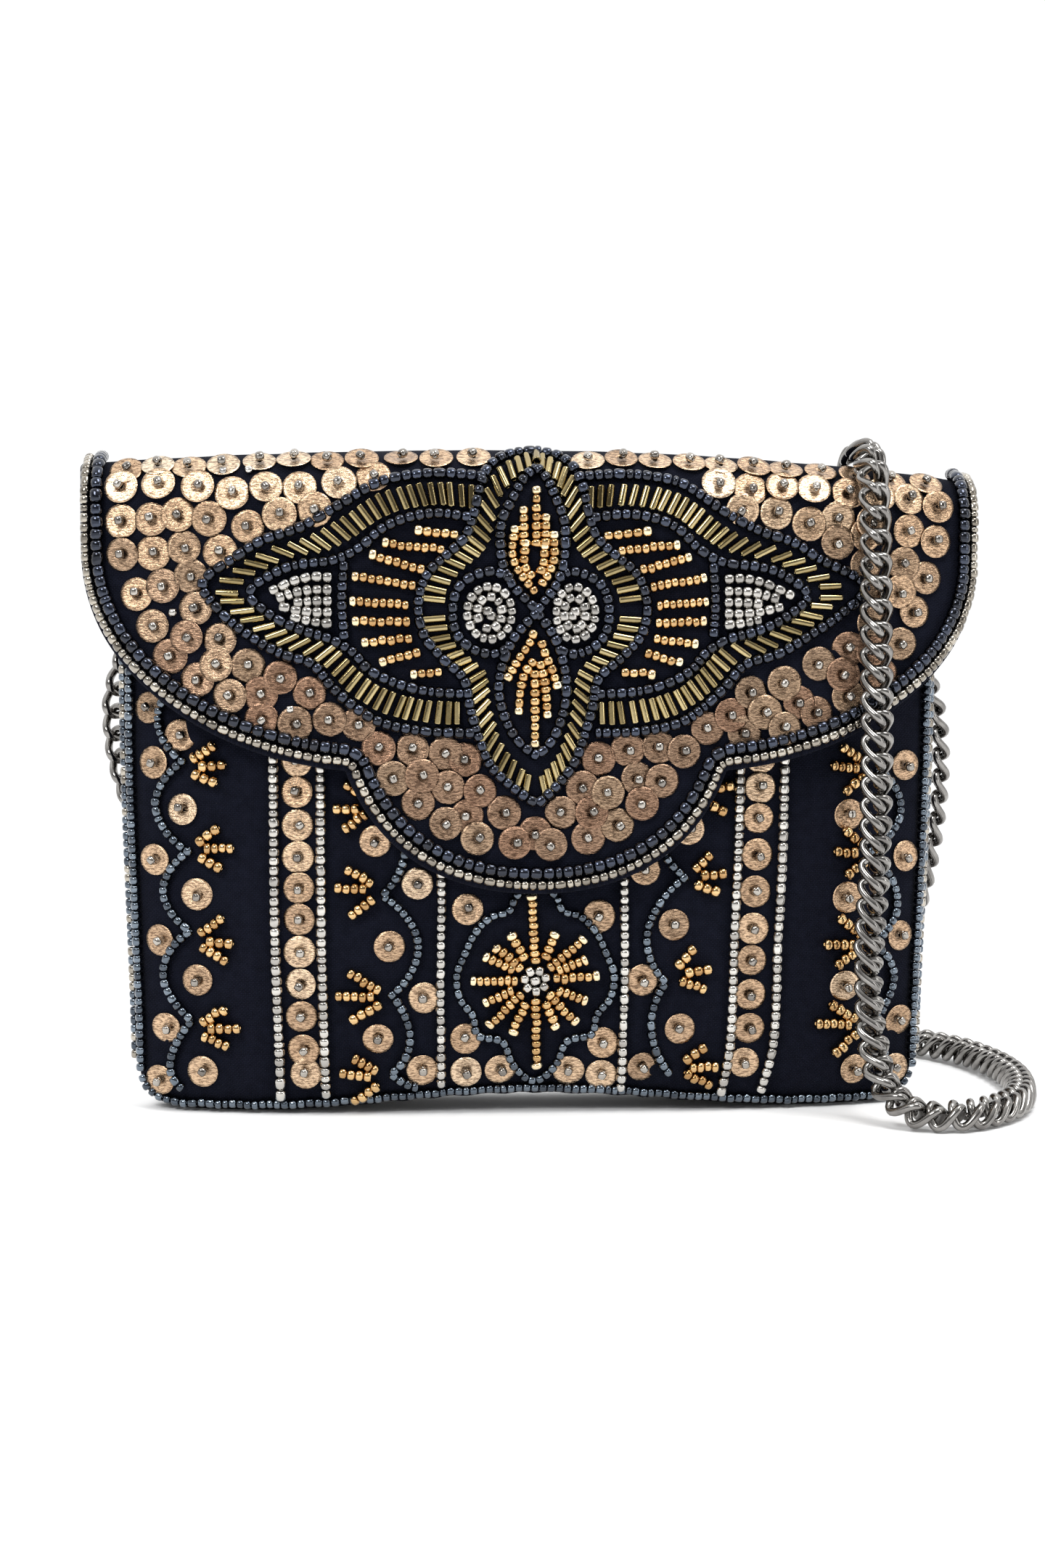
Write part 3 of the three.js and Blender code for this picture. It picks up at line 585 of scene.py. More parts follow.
def dimples(x, z, places, depth, width):
    """Small hollows where stitched beads pull the cloth in."""
    tree = kdtree.KDTree(len(places))
    for i, (px, pz) in enumerate(places):
        tree.insert((px, pz, 0), i)
    tree.balance()
    near = np.array([tree.find((a, b, 0))[2] for a, b in zip(np.ravel(x), np.ravel(z))])
    return -depth * np.exp(-((near / width) ** 2)).reshape(np.shape(x))


class PanelSurface:
    """The body's front as a place for beads, by (x, z) of its front view."""

    def point(self, x, z):
        s, height = body_s(-1, x, z)
        return body_point(-1, np.clip(x / body_half(height), -1, 1), s)

    def frames(self, x, z):
        x, z = np.atleast_1d(np.asarray(x, float)), np.atleast_1d(np.asarray(z, float))
        here, normal = surface_frames(self.point, x, z)
        return here + normal * panel_waves(x, z, -1)[:, None], normal


# ------------------------------------------------------------------ flap surfaces

TOP_DEPTH = -3.0  # of the top line
FRONT_FOLD, BACK_FOLD = (160.0, 23.5, 16.7), (171.0, 6.6, 5.7)  # start height, depth and rise of each half of the fold
FLAP_ROWS = [(148, 20.8), (128, 22.2), (108, 23.4), (90, 24.4), (73, 25.2), (57, 25.5)]
SHOULDER = 0.78  # below 1 the fold is flatter on top and turns down more sharply


def fold_point(degrees):
    """(height, depth) on the fold: 0 at its front, 90 on the top line."""
    z, depth, rise = BACK_FOLD if degrees > 90 else FRONT_FOLD
    power = 1.0 if degrees > 90 else SHOULDER
    c, s = math.cos(math.radians(degrees)), math.sin(math.radians(degrees))
    return (z + rise * abs(s) ** power, TOP_DEPTH + math.copysign(depth * abs(c) ** power, c))


FLAP = Profile([fold_point(a) for a in (90, 86, 80, 72, 63, 54, 45, 36, 27, 18, 9)] + FLAP_ROWS, 0.5, -1.0)
YOKE = Profile([fold_point(a) for a in range(90, 141, 10)] + [(172.8, -9.6), (169.4, -10.6)], 0.5, 1.0)


def cover_point(profile, x, s, inset=0.0):
    """A point of the flap or the yoke, by x and the length from the top line."""
    z, depth, nz, nd = profile.at(s)
    y = SEAM_Y - (depth * (0.25 + 0.75 * fullness(x / (FLAP_HALF + 4))) - nd * inset)
    return np.stack([x, y, z - nz * inset - droop(x, z)], -1)


def flap_s(x, z):
    """The length down the flap from its top line of the point seen at (x, z)."""
    height = np.asarray(z, float)
    for _ in range(4):
        height = np.minimum(z + droop(x, height), FLAP.line[0, 0])
    return np.interp(-height, -FLAP.line[:, 0], FLAP.run)


def bezier(a, b, c, d, count):
    """Points on a cubic curve."""
    t = np.linspace(0, 1, count)[:, None]
    a, b, c, d = (np.array(p, float) for p in (a, b, c, d))
    return a * (1 - t) ** 3 + 3 * b * t * (1 - t) ** 2 + 3 * c * t**2 * (1 - t) + d * t**3


def flap_outline():
    """The flap's edge as (x, length down the flap), from the right end of its top line to the left."""
    scallop = bezier((118.6, 151.5), (117, 118), (86, 96), (49.5, 93.3), 60)
    lobe = bezier((49.5, 93.3), (41, 70), (22, 61), (0, 61), 50)[1:]
    right = np.vstack([scallop, lobe])
    right[:, 1] = np.interp(-right[:, 1], -FLAP.line[:, 0], FLAP.run)
    side = np.column_stack([np.linspace(118.95, 118.6, 24), np.linspace(0, right[0, 1], 25)[:-1]])
    right = np.vstack([side, right])
    return np.vstack([right, right[-2::-1] * (-1, 1)])


OUTLINE = spaced(flap_outline(), 1.4)


def closed_on_top(line):
    """A flap edge line closed along the top line, with points on it."""
    top = spaced(np.array([line[-1] * (1, 0), line[0] * (1, 0)]), 2.0)
    return np.vstack([line[1:-1], top])


def inset_line(line, distance):
    """A line moved to its left by a distance, without the loops that this makes at its corners."""
    slope = unit(np.gradient(line, axis=0))
    moved = line + np.stack([-slope[:, 1], slope[:, 0]], -1) * distance
    gap = np.linalg.norm(moved[:, None] - line[None], axis=2).min(1)
    return spaced(moved[gap > distance * 0.97], 1.0)


def inside(points, outline):
    """Which points lie inside a closed outline."""
    x, y = points[:, 0][:, None], points[:, 1][:, None]
    a, b = outline, np.roll(outline, -1, 0)
    crosses = (a[:, 1] > y) != (b[:, 1] > y)
    height = np.where(np.abs(b[:, 1] - a[:, 1]) < 1e-9, 1e-9, b[:, 1] - a[:, 1])
    at = a[:, 0] + (y - a[:, 1]) / height * (b[:, 0] - a[:, 0])
    return (np.sum(crosses & (x < at), axis=1) % 2) == 1


def distance_to(points, line, batch=2000):
    """Each point's distance to the nearest point of a line."""
    out = np.empty(len(points))
    for i in range(0, len(points), batch):
        part = points[i:i + batch]
        out[i:i + batch] = np.linalg.norm(part[:, None] - line[None], axis=2).min(1)
    return out


def flap_waves(x, s):
    """How far the flap's fabric stands out or in."""
    return 0.35 * ripple(x, s, 55, 31) * smoothstep(s, 20, 60) + 0.12 * ripple(x, s, 18, 32)


class FlapSurface:
    """The closed flap as a place for beads, by x and the length down from its top line."""

    def frames(self, x, s):
        x, s = np.atleast_1d(np.asarray(x, float)), np.atleast_1d(np.asarray(s, float))
        here, normal = surface_frames(lambda u, v: cover_point(FLAP, u, v), x, s)
        return here + normal * flap_waves(x, s)[:, None], normal


class FlapFront(FlapSurface):
    """The same by (x, z) of its front view."""

    def frames(self, x, z):
        x, z = np.atleast_1d(np.asarray(x, float)), np.atleast_1d(np.asarray(z, float))
        return super().frames(x, flap_s(x, z))


PANEL, FLAP_RUN, FLAP_VIEW = PanelSurface(), FlapSurface(), FlapFront()

# ------------------------------------------------------------------ cloth pieces


def rounded_edge(outer, inner, away, bulge, points, base):
    """Adds rings of points that round an edge from its outer to its inner face; gives their numbers."""
    half = np.linalg.norm(outer - inner, axis=1)[:, None] / 2
    rings = []
    for k in range(1, 6):
        angle = math.pi * k / 6
        points.append(
            (outer + inner) / 2 + (outer - inner) / 2 * math.cos(angle) + away * half * bulge * math.sin(angle)
        )
        rings.append(np.arange(len(outer)) + base)
        base += len(outer)
    return rings


def sewn_shell(name, outer, inner, rows, columns, uv, material):
    """A closed cloth layer between an outer and an inner grid, with a rounded hem on its last row."""
    count = rows * columns
    points = [outer.reshape(-1, 3), inner.reshape(-1, 3)]
    face = grid_faces(rows, columns)
    faces = [face[:, ::-1], face + count]
    for edge in (np.arange(rows) * columns, np.arange(rows) * columns + columns - 1):
        a, b = edge[:-1], edge[1:]
        quad = np.stack([a, a + count, b + count, b], -1)
        faces.append(quad if edge[0] else quad[:, ::-1])
    low = np.arange(columns)
    faces.append(np.stack([low[:-1], low[:-1] + count, low[1:] + count, low[1:]], -1))
    top = low + (rows - 1) * columns
    o, i = points[0][top], points[1][top]
    upward = unit(o - points[0][top - columns])
    rings = [top, *rounded_edge(o, i, upward, 1.0, points, 2 * count), top + count]
    for a, b in zip(rings, rings[1:]):
        faces.append(np.stack([a[:-1], a[1:], b[1:], b[:-1]], -1)[:, ::-1])
    points = np.vstack(points)
    uv = np.vstack([uv, uv] + [uv[top]] * (len(rings) - 2))
    for corner in (0, columns - 1):
        loop = [r[corner] for r in rings]
        fan = np.array([[loop[0], loop[k], loop[k + 1]] for k in range(1, len(loop) - 1)])
        faces.append(fan if corner else fan[:, ::-1])
    return mesh_object(name, points, faces, material, uv=uv)


BODY_GRID = 124, 171  # points up and across each layer of the body


def body_layer(name, side, inset, thickness, material, from_s=0.0, short=0.0, hem=0.0):
    """One layer of the body's front or back half, with the stuffed body's waves.

    short is how far it stops below the mouth, and hem how much thicker its turned-in mouth is.
    """
    profile = FRONT if side < 0 else BACK
    rows, columns = BODY_GRID
    s = np.linspace(from_s, profile.total - short, rows)[:, None] * np.ones((1, columns))
    thickness = thickness + hem * smoothstep(s, profile.total - 6.5, profile.total - 5)
    share = np.sin(np.linspace(-math.pi / 2, math.pi / 2, columns))[None] * np.ones((rows, 1))
    outer, inner = (body_point(side, share, s, inset + extra) for extra in (0, thickness))
    x, z = outer[..., 0], outer[..., 2]
    normal = unit(np.cross(np.gradient(outer, axis=1), np.gradient(outer, axis=0)))
    normal *= np.sign(np.sum(normal[..., 1]) * side)
    lift = panel_waves(x, z, side)
    if side < 0 and inset == 0:
        lift = lift + dimples(x, z, stitched_panel, 0.3, 2.0)
    outer = outer + normal * lift[..., None]
    inner = inner + normal * lift[..., None]
    outer[..., 2], inner[..., 2] = np.maximum(outer[..., 2], 0.02), np.maximum(inner[..., 2], 0.05)
    uv = np.stack([x, s], -1)
    if side > 0:
        outer, inner, uv = (grid[:, ::-1] for grid in (outer, inner, uv))
    return sewn_shell(name, outer, inner, rows, columns, uv.reshape(-1, 2), material)


def flat_pattern(outline, spacing):
    """Triangles over a closed outline in the plane, with near-even points inside it."""
    low, high = outline.min(0), outline.max(0)
    xs = np.arange(low[0], high[0], spacing)
    rows = []
    for k, y in enumerate(np.arange(low[1] + spacing / 2, high[1], spacing * 0.87)):
        rows.append(np.column_stack([xs + (k % 2) * spacing / 2, np.full(len(xs), y)]))
    points = np.vstack(rows)
    points = points[inside(points, outline)]
    points = points[distance_to(points, outline) > spacing * 0.55]
    border = len(outline)
    edges = [(i, (i + 1) % border) for i in range(border)]
    every = [Vector(p) for p in np.vstack([outline, points])]
    made, _, faces, origins, _, _ = geometry.delaunay_2d_cdt(every, edges, [], 1, 1e-5)
    faces = np.array([f for f in faces if len(f) == 3])
    flat = np.array([tuple(p) for p in made])
    order = [o[0] if o else -1 for o in origins]
    place = {o: i for i, o in enumerate(order) if o >= 0}
    rim = np.array([place[i] for i in range(border)])
    a, b, c = (flat[faces[:, k]] for k in range(3))
    area = (b[:, 0] - a[:, 0]) * (c[:, 1] - a[:, 1]) - (b[:, 1] - a[:, 1]) * (c[:, 0] - a[:, 0])
    faces[area < 0] = faces[area < 0][:, ::-1]
    return flat, faces, rim


def cover_layer(name, profile, outline, inset, thickness, material, hem=0.0, spacing=2.0, waves=True):
    """One closed layer of the flap or the yoke, cut to an outline in (x, length along the profile).

    hem is how much thicker its turned-in edge is.
    """
    flat, faces, rim = flat_pattern(outline, spacing)
    x, s = flat[:, 0], flat[:, 1]
    here, normal = surface_frames(lambda u, v: cover_point(profile, u, v), x, s)
    on_top = outline[:, 1] < 0.6
    edge = distance_to(flat, outline[~on_top])
    lift = flap_waves(x, s) * (smoothstep(s, 0, 8) if waves else 0)
    if inset == 0 and profile is FLAP:
        lift = lift + dimples(x, s, stitched_flap, 0.28, 2.0)
    deep = thickness + hem * (1 - smoothstep(edge, 2.6, 4.0))
    outer = here + normal * (lift - inset)[:, None]
    inner = here + normal * (lift - inset - deep)[:, None]
    count = len(flat)
    points, sheets = [outer, inner], [faces, faces[:, ::-1] + count]
    centre = (outer[rim] + inner[rim]) / 2
    away = unit(np.cross(np.roll(centre, -1, 0) - np.roll(centre, 1, 0), normal[rim]))
    away *= np.sign(np.sum(away * (centre - outer.mean(0)), 1).sum())
    away[on_top] = 0
    rings = [rim, *rounded_edge(outer[rim], inner[rim], away, 0.8, points, 2 * count), rim + count]
    turn = np.sum(outline[:, 0] * np.roll(outline[:, 1], -1) - np.roll(outline[:, 0], -1) * outline[:, 1])
    for a, b in zip(rings, rings[1:]):
        quad = np.stack([a, b, np.roll(b, -1), np.roll(a, -1)], -1)
        sheets.append(quad if turn > 0 else quad[:, ::-1])
    uv = np.vstack([flat, flat] + [flat[rim]] * 5)
    return mesh_object(name, np.vstack(points), sheets, material, uv=uv)


# ------------------------------------------------------------------ beads, bugles and sequins

BEAD_SHAPE = turned([
    (-0.75, 0.28), (-0.95, 0.38), (-1.0, 0.55), (-0.9, 0.78), (-0.66, 0.94), (-0.28, 1.0), (0.28, 1.0),
    (0.66, 0.94), (0.9, 0.78), (1.0, 0.55), (0.95, 0.38), (0.75, 0.28),
], 12)
BUGLE_SHAPE = turned([
    (-0.94, 0.5), (-0.99, 0.52), (-1.0, 0.6), (-1.0, 0.86), (-0.99, 0.95), (-0.965, 0.99), (-0.9, 1.0),
    (0.9, 1.0), (0.965, 0.99), (0.99, 0.95), (1.0, 0.86), (1.0, 0.6), (0.99, 0.52), (0.94, 0.5),
], 12)


def sequin_shape():
    """A thin, slightly cupped disc with a hole near its middle, its axis along +Z."""
    sides = 28
    angle = np.arange(sides) * 2 * math.pi / sides
    rings = [
        (0.13, 0.035), (0.13, -0.01), (0.45, -0.015), (0.8, 0.008),
        (1.0, 0.03), (1.0, 0.058), (0.8, 0.036), (0.45, 0.016),
    ]
    points = np.array([(r * math.cos(a), r * math.sin(a), h) for r, h in rings for a in angle])
    faces = grid_faces(len(rings) + 1, sides, closed=True) % (len(rings) * sides)
    return points, faces[:, ::-1]


SHAPES = {"bugle": BUGLE_SHAPE, "sequin": sequin_shape()}
# Each colour's material and slot.
LOOKS = {
    "navy": (NAVY, "beads_navy"), "steel": (STEEL, "beads_steel_blue"), "pewter": (PEWTER, "beads_pewter"),
    "silver": (SILVER, "beads_silver"), "dull": (DULL_SILVER, "beads_silver"), "gold": (GOLD, "beads_gold"),
    "pale": (PALE_GOLD, "beads_gold"), "bugle": (BRASS, "beads_gold"), "smoke": (SMOKE, "gunmetal"),
    "sequin": (BRONZE, "sequins_bronze"),
}
FLAP_SEQUIN, PANEL_SEQUIN = 4.45, 4.2  # radius
BEAD_LIFT, BEAD_GAP, BUGLE_PITCH = 0.92, 0.16, 2.5


class BeadWork:
    """Beads gathered by colour; each set becomes one mesh."""

    def __init__(self):
        self.sets = {}

    def add(self, key, place, tangent, normal, scale, tint=None):
        shade = rng.uniform(0, 1) if tint is None else tint
        self.sets.setdefault(key, []).append((place, tangent, normal, scale, shade))

    def bead(self, key, surface, x, v, direction, length, radius):
        """One seed bead on a surface, its hole along a direction given in the surface's two axes."""
        here, normal = surface.frames([x, x + direction[0] * 0.5], [v, v + direction[1] * 0.5])
        tangent = here[1] - here[0]
        tangent = tangent / max(np.linalg.norm(tangent), 1e-9)
        wobble = rng.normal(0, 0.07, 3)
        radius = radius * rng.uniform(0.94, 1.06)
        self.add(
            key, here[0] + normal[0] * radius * BEAD_LIFT, tangent + wobble, normal[0],
            (length / 2, radius, radius * 0.97),
        )

    def row(self, key, surface, line, length, radius, spread=0.24, straight=False, marks=None):
        """Beads threaded one after another along a line, each of about the given size."""
        fine = np.asarray(line, float) if straight else smooth_line(line)
        total = lengths(fine)[-1]
        at = 0.0
        made = []
        while at < total:
            size = length * (1 + spread * rng.uniform(-1, 1) ** 3 * 1.6)
            middle = at + size / 2
            if middle > total:
                break
            (x, v), (x2, v2) = along(fine, np.array([middle, middle + 0.6]))
            step = math.hypot(x2 - x, v2 - v) or 1.0
            self.bead(key, surface, x, v, ((x2 - x) / step, (v2 - v) / step), size, radius)
            made.append((x, v))
            at += size + BEAD_GAP
        if marks is not None:
            marks.extend(made)
        return made

    def ray(self, surface, start, end, count, marks, tip=True, radius=1.45):
        """A short straight thread of gold beads, with a paler bead as its tip."""
        start, end = np.array(start, float), np.array(end, float)
        direction = (end - start) / max(np.linalg.norm(end - start), 1e-6)
        pitch = np.linalg.norm(end - start) / count
        side = np.array([-direction[1], direction[0]])
        for i in range(count):
            x, v = start + direction * pitch * (i + 0.5) + side * rng.normal(0, 0.14)
            last = tip and i == count - 1
            size = radius * (1.08 if last else 1)
            self.bead("pale" if last else "gold", surface, x, v, direction, pitch * 0.94, size)
            marks.append((x, v))

    def sequin(self, surface, x, v, radius, lift, tilt, tint):
        """A sequin held by a bead that stands a little off its middle."""
        here, normal = surface.frames(x, v)
        here, normal = here[0], normal[0]
        lean = normal + rng.normal(0, math.radians(tilt), 3)
        lean /= np.linalg.norm(lean)
        spin = rng.normal(0, 1, 3)
        centre = here + normal * lift
        size = radius * rng.uniform(0.97, 1.03)
        self.add("sequin", centre, spin, lean, (size, size, size), tint)
        shift = spin - lean * (spin @ lean)
        shift = shift / max(np.linalg.norm(shift), 1e-9) * rng.uniform(0.1, 0.7)
        stand = np.array([rng.normal(0, 0.6), rng.normal(0, 0.3), 1.0]) + lean * rng.uniform(0, 1.2)
        bead_radius = rng.uniform(1.12, 1.32)
        place = centre + lean * (bead_radius + 0.3) + shift
        self.add("smoke", place, stand, lean, (1.08, bead_radius, bead_radius))

    def bugle(self, surface, x, v, direction, length=6.1, radius=0.98):
        """One long tube bead that lies on a surface."""
        du, dv = direction[0] * 2, direction[1] * 2
        here, normal = surface.frames([x, x + du, x - du], [v, v + dv, v - dv])
        tangent = here[1] - here[2]
        self.add(
            "bugle", here[0] + normal[0] * radius, tangent, normal[0],
            (length / 2 * rng.uniform(0.94, 1.04), radius, radius),
        )

    def meshes(self, prefix):
        """One mesh for each colour, by its key."""
        made = {}
        for key, frames in self.sets.items():
            shape = SHAPES.get(key, BEAD_SHAPE)
            points, faces = copies(shape, frames)
            tint = np.repeat([f[4] for f in frames], len(shape[0]))
            made[key] = mesh_object(f"{prefix}_{key}", points, faces, LOOKS[key][0], tint=tint)
        return made


# ------------------------------------------------------------------ bead work on the flap

# Left half of the medallion, as (x, z) of the front view.
WING_OUTER = [
    (-13.5, 168.2), (-26.2, 168.8), (-34.4, 168.1), (-40.8, 166.8), (-46.4, 164.1), (-53.0, 160.2), (-61.9, 155.2),
    (-71.2, 152.0), (-77.6, 148.0), (-86.6, 140.6), (-82.2, 133.6), (-75.0, 127.6), (-66.6, 122.8), (-58.2, 119.9),
    (-54.0, 114.8), (-47.0, 108.6), (-40.4, 104.9), (-29.1, 102.7), (-17.0, 102.3),
]
WING_INNER = [
    (-17.4, 158.2), (-26.3, 159.2), (-33.8, 158.0), (-40.4, 155.2), (-46.0, 150.4), (-52.5, 147.0), (-61.9, 145.7),
    (-67.5, 143.9), (-74.6, 138.2), (-69.4, 132.9), (-61.9, 129.0), (-53.5, 126.4), (-47.9, 123.1), (-44.1, 118.9),
    (-37.6, 115.5), (-29.1, 113.2), (-18.4, 112.4),
]
CENTRE_OUTER = [
    (0, 174.4), (-6.6, 173.8), (-12.2, 171.0), (-15.0, 166.0), (-16.6, 159.6), (-19.0, 153.2), (-23.8, 148.4),
    (-28.2, 144.2), (-30.4, 139.6), (-31.0, 133.4), (-29.4, 127.2), (-24.8, 121.6), (-19.3, 116.2), (-17.6, 108.6),
    (-15.2, 100.6), (-12.4, 94.0), (-7.0, 88.6), (0, 83.6),
]
LEAF_TOP = [
    (0, 170.6), (-3.4, 168.0), (-6.4, 163.4), (-9.4, 157.4), (-9.8, 151.0), (-9.2, 146.0), (-7.0, 141.2),
    (-3.6, 137.4), (0, 133.8),
]
LEAF_BOTTOM = [
    (0, 133.8), (-3.6, 130.2), (-6.8, 126.0), (-9.2, 120.4), (-10.2, 114.8), (-9.6, 109.4), (-7.4, 103.6),
    (-4.2, 99.2), (0, 96.2),
]
EYE = (-12.6, 133.4)
EYE_RING = [
    (-6.6, 142.2), (-11.8, 144.2), (-17.2, 142.8), (-20.9, 139.6), (-22.2, 133.6), (-21.0, 127.8), (-17.2, 124.2),
    (-11.8, 122.8), (-6.6, 124.6),
]
# Inner edge of the bugle band inside the centre's outline, above and below the eyes.
BAND_UPPER = [
    (-1.6, 171.0), (-5.4, 166.6), (-8.6, 161.6), (-10.6, 155.6), (-13.4, 149.6), (-18.0, 145.6), (-22.4, 140.2),
    (-24.0, 133.6),
]
BAND_LOWER = [
    (-24.0, 133.6), (-22.4, 127.0), (-18.4, 121.6), (-13.2, 117.4), (-12.2, 110.6), (-10.6, 103.4), (-7.0, 96.0),
    (-1.4, 90.2),
]
# Start, end and number of beads of each gold ray.
RAYS = [
    ((-20.6, 153.4), (-32.2, 155.0), 5), ((-24.2, 149.7), (-40.6, 151.5), 8), ((-29.3, 144.4), (-44.0, 148.4), 7),
    ((-31.6, 140.2), (-48.4, 142.9), 8), ((-33.4, 135.5), (-49.0, 136.4), 8), ((-33.0, 131.0), (-48.4, 131.2), 7),
    ((-32.5, 127.0), (-46.0, 125.3), 6), ((-30.4, 123.4), (-41.4, 120.3), 5), ((-24.8, 118.0), (-33.4, 117.6), 4),
]
PETAL_EDGE = [(-50.2, 146.6), (-50.8, 136.4), (-50.2, 127.0)]
PETAL_ROWS = [
    [(-53.2, 142.4), (-58.6, 142.6), (-64.0, 141.2), (-70.0, 138.3)],
    [(-53.2, 139.2), (-57.6, 139.2), (-62.2, 138.6), (-67.4, 136.9)],
    [(-53.2, 136.3), (-57.6, 136.3), (-62.4, 135.9)],
    [(-53.2, 133.4), (-57.6, 133.4), (-62.2, 133.8), (-67.0, 135.0)],
    [(-53.2, 130.4), (-57.8, 130.8), (-63.0, 132.0)],
]
# Gold leaves, whole rather than half: threads of beads as (x, z), each ending at its paler bead.
LEAF_THREADS = [
    [(-0.4, 150.6), (-0.4, 164.0)], [(-3.6, 150.8), (-3.8, 158.4)], [(3.2, 150.8), (3.4, 158.0)],
    [(-0.4, 138.4), (-3.6, 142.2), (-5.8, 145.6), (-6.8, 149.2), (-6.4, 153.4)],
    [(1.4, 140.4), (4.4, 143.8), (6.2, 147.6), (6.2, 152.6)],
    [(-1.2, 142.4), (-3.4, 145.6), (-3.4, 149.6)], [(1.2, 143.4), (2.4, 146.2), (2.8, 149.8)],
    [(-0.9, 129.0), (-2.4, 125.4), (-5.2, 121.4), (-7.6, 117.2)],
    [(0.8, 126.4), (3.2, 122.6), (5.6, 118.6), (6.8, 115.4)],
    [(-0.9, 121.4), (-3.4, 117.8), (-4.6, 113.6), (-5.0, 108.8)],
    [(0.4, 121.0), (2.4, 117.0), (3.4, 112.6), (3.8, 108.4)],
    [(-0.8, 118.6), (-0.8, 100.4)],
]


# How far the right half's work is shifted from a mirror image, by its place across.
RIGHT_SHIFT = (
    (0, 4, 12.6, 22, 32, 45, 53, 66, 78, 88, 125),
    (-0.4, -1.4, -3.3, -3.6, -2.4, -3.8, -4.5, -3.6, -3.6, 0.6, 0.0),
)


def shifted(x):
    return x + float(np.interp(x, *RIGHT_SHIFT))


def on_half(line, side):
    """The left half's points as they are, or for side -1 where they are on the right half."""
    return list(line) if side > 0 else [(shifted(x), z) for x, z in mirrored(line)]


def bugle_band(work, surface, outer, inner, start_angle, end_angle, side):
    """Bugles side by side between two lines, fanning from one angle to another."""
    outer, inner = smooth_line(outer), smooth_line(inner)
    share = np.linspace(0, 1, 400)
    a = along(outer, share * lengths(outer)[-1])
    b = along(inner, share * lengths(inner)[-1])
    middle = (a + b) / 2
    slope = np.gradient(middle, axis=0)
    run = lengths(middle)
    at = 1.6
    while at < run[-1] - 1.4:
        part = at / run[-1]
        k = min(399, int(np.searchsorted(run, at)))
        angle = math.radians(start_angle + (end_angle - start_angle) * part + rng.normal(0, 1.5))
        direction = np.array([math.cos(angle), math.sin(angle)])
        along_band = slope[k] / np.linalg.norm(slope[k])
        cross = abs(direction[0] * along_band[1] - direction[1] * along_band[0])
        (x, v), = on_half([middle[k]], side)
        work.bugle(surface, x, v, (side * direction[0], direction[1]))
        at += BUGLE_PITCH / max(cross, 0.55) * rng.uniform(0.97, 1.1)


def flap_bead_work():
    """The medallion, the two edge rows and the sequins of the flap."""
    work, view, run = BeadWork(), FLAP_VIEW, FLAP_RUN
    marks = []
    split = len(CENTRE_OUTER) // 2
    for side in (1, -1):
        for line in (WING_OUTER, WING_INNER, CENTRE_OUTER, LEAF_TOP, LEAF_BOTTOM, EYE_RING, PETAL_EDGE):
            work.row("navy", view, on_half(line, side), 2.45, 1.52, marks=marks)
        for line in PETAL_ROWS:
            work.row("dull", view, on_half(line, side), 2.5, 1.5, 0.15, marks=marks)
        for reach, wide in ((6.9, 5.9), (4.1, 3.2), (1.3, 0.5)):
            turn = np.linspace(0, 2 * math.pi, 33) + reach
            ring = [(EYE[0] + wide * math.cos(a), EYE[1] + reach * math.sin(a)) for a in turn]
            work.row("dull", view, on_half(ring, side), 2.4, 1.45, 0.15, straight=True, marks=marks)
        for start, end, count in RAYS:
            work.ray(view, *on_half((start, end), side), count, marks)
        bugle_band(work, view, WING_OUTER, WING_INNER, 88, 272, side)
        bugle_band(work, view, CENTRE_OUTER[:split + 1], BAND_UPPER, 98, 178, side)
        bugle_band(work, view, CENTRE_OUTER[split:], BAND_LOWER, 182, 262, side)
    for thread in LEAF_THREADS:
        line = smooth_line([(shifted(x), z) if x > 1 else (x, z) for x, z in thread])
        size = 2.1
        made = work.row("gold", view, line, size, 1.42, 0.12, straight=True, marks=marks)
        (x, z), (ax, az) = made[-1], made[-2]
        step = math.hypot(x - ax, z - az)
        tip = x + (x - ax) / step * size, z + (z - az) / step * size
        work.bead("pale", view, *tip, (x - ax, z - az), size, 1.42)
    work.bugle(run, 0, flap_s(0, TOP_ROW_Z), (0, 1), 6.0, 1.25)
    for inset, key, length, radius in ((1.7, "pewter", 2.25, 1.32), (4.8, "navy", 2.85, 1.68)):
        line = inset_line(OUTLINE, inset)
        work.row(key, run, line, length, radius, straight=True)
        stitched_flap.extend(map(tuple, line))
    stitched_flap.extend((x, float(flap_s(x, z))) for x, z in marks)
    scatter_sequins(work, run)
    return work


TOP_ROW_Z = 173.4  # height of the row of sequins along the top line
# That row, as x alone.
TOP_SEQUINS = [
    -106.8, -98.6, -90.4, -81.5, -72.2, -63.3, -54.6, -45.6, -35.4, -26.2, -16.4, 13.6, 22.4, 31.4,
    40.4, 48.8, 57.6, 66.2, 75.6, 84.8, 94.4, 104.6,
]
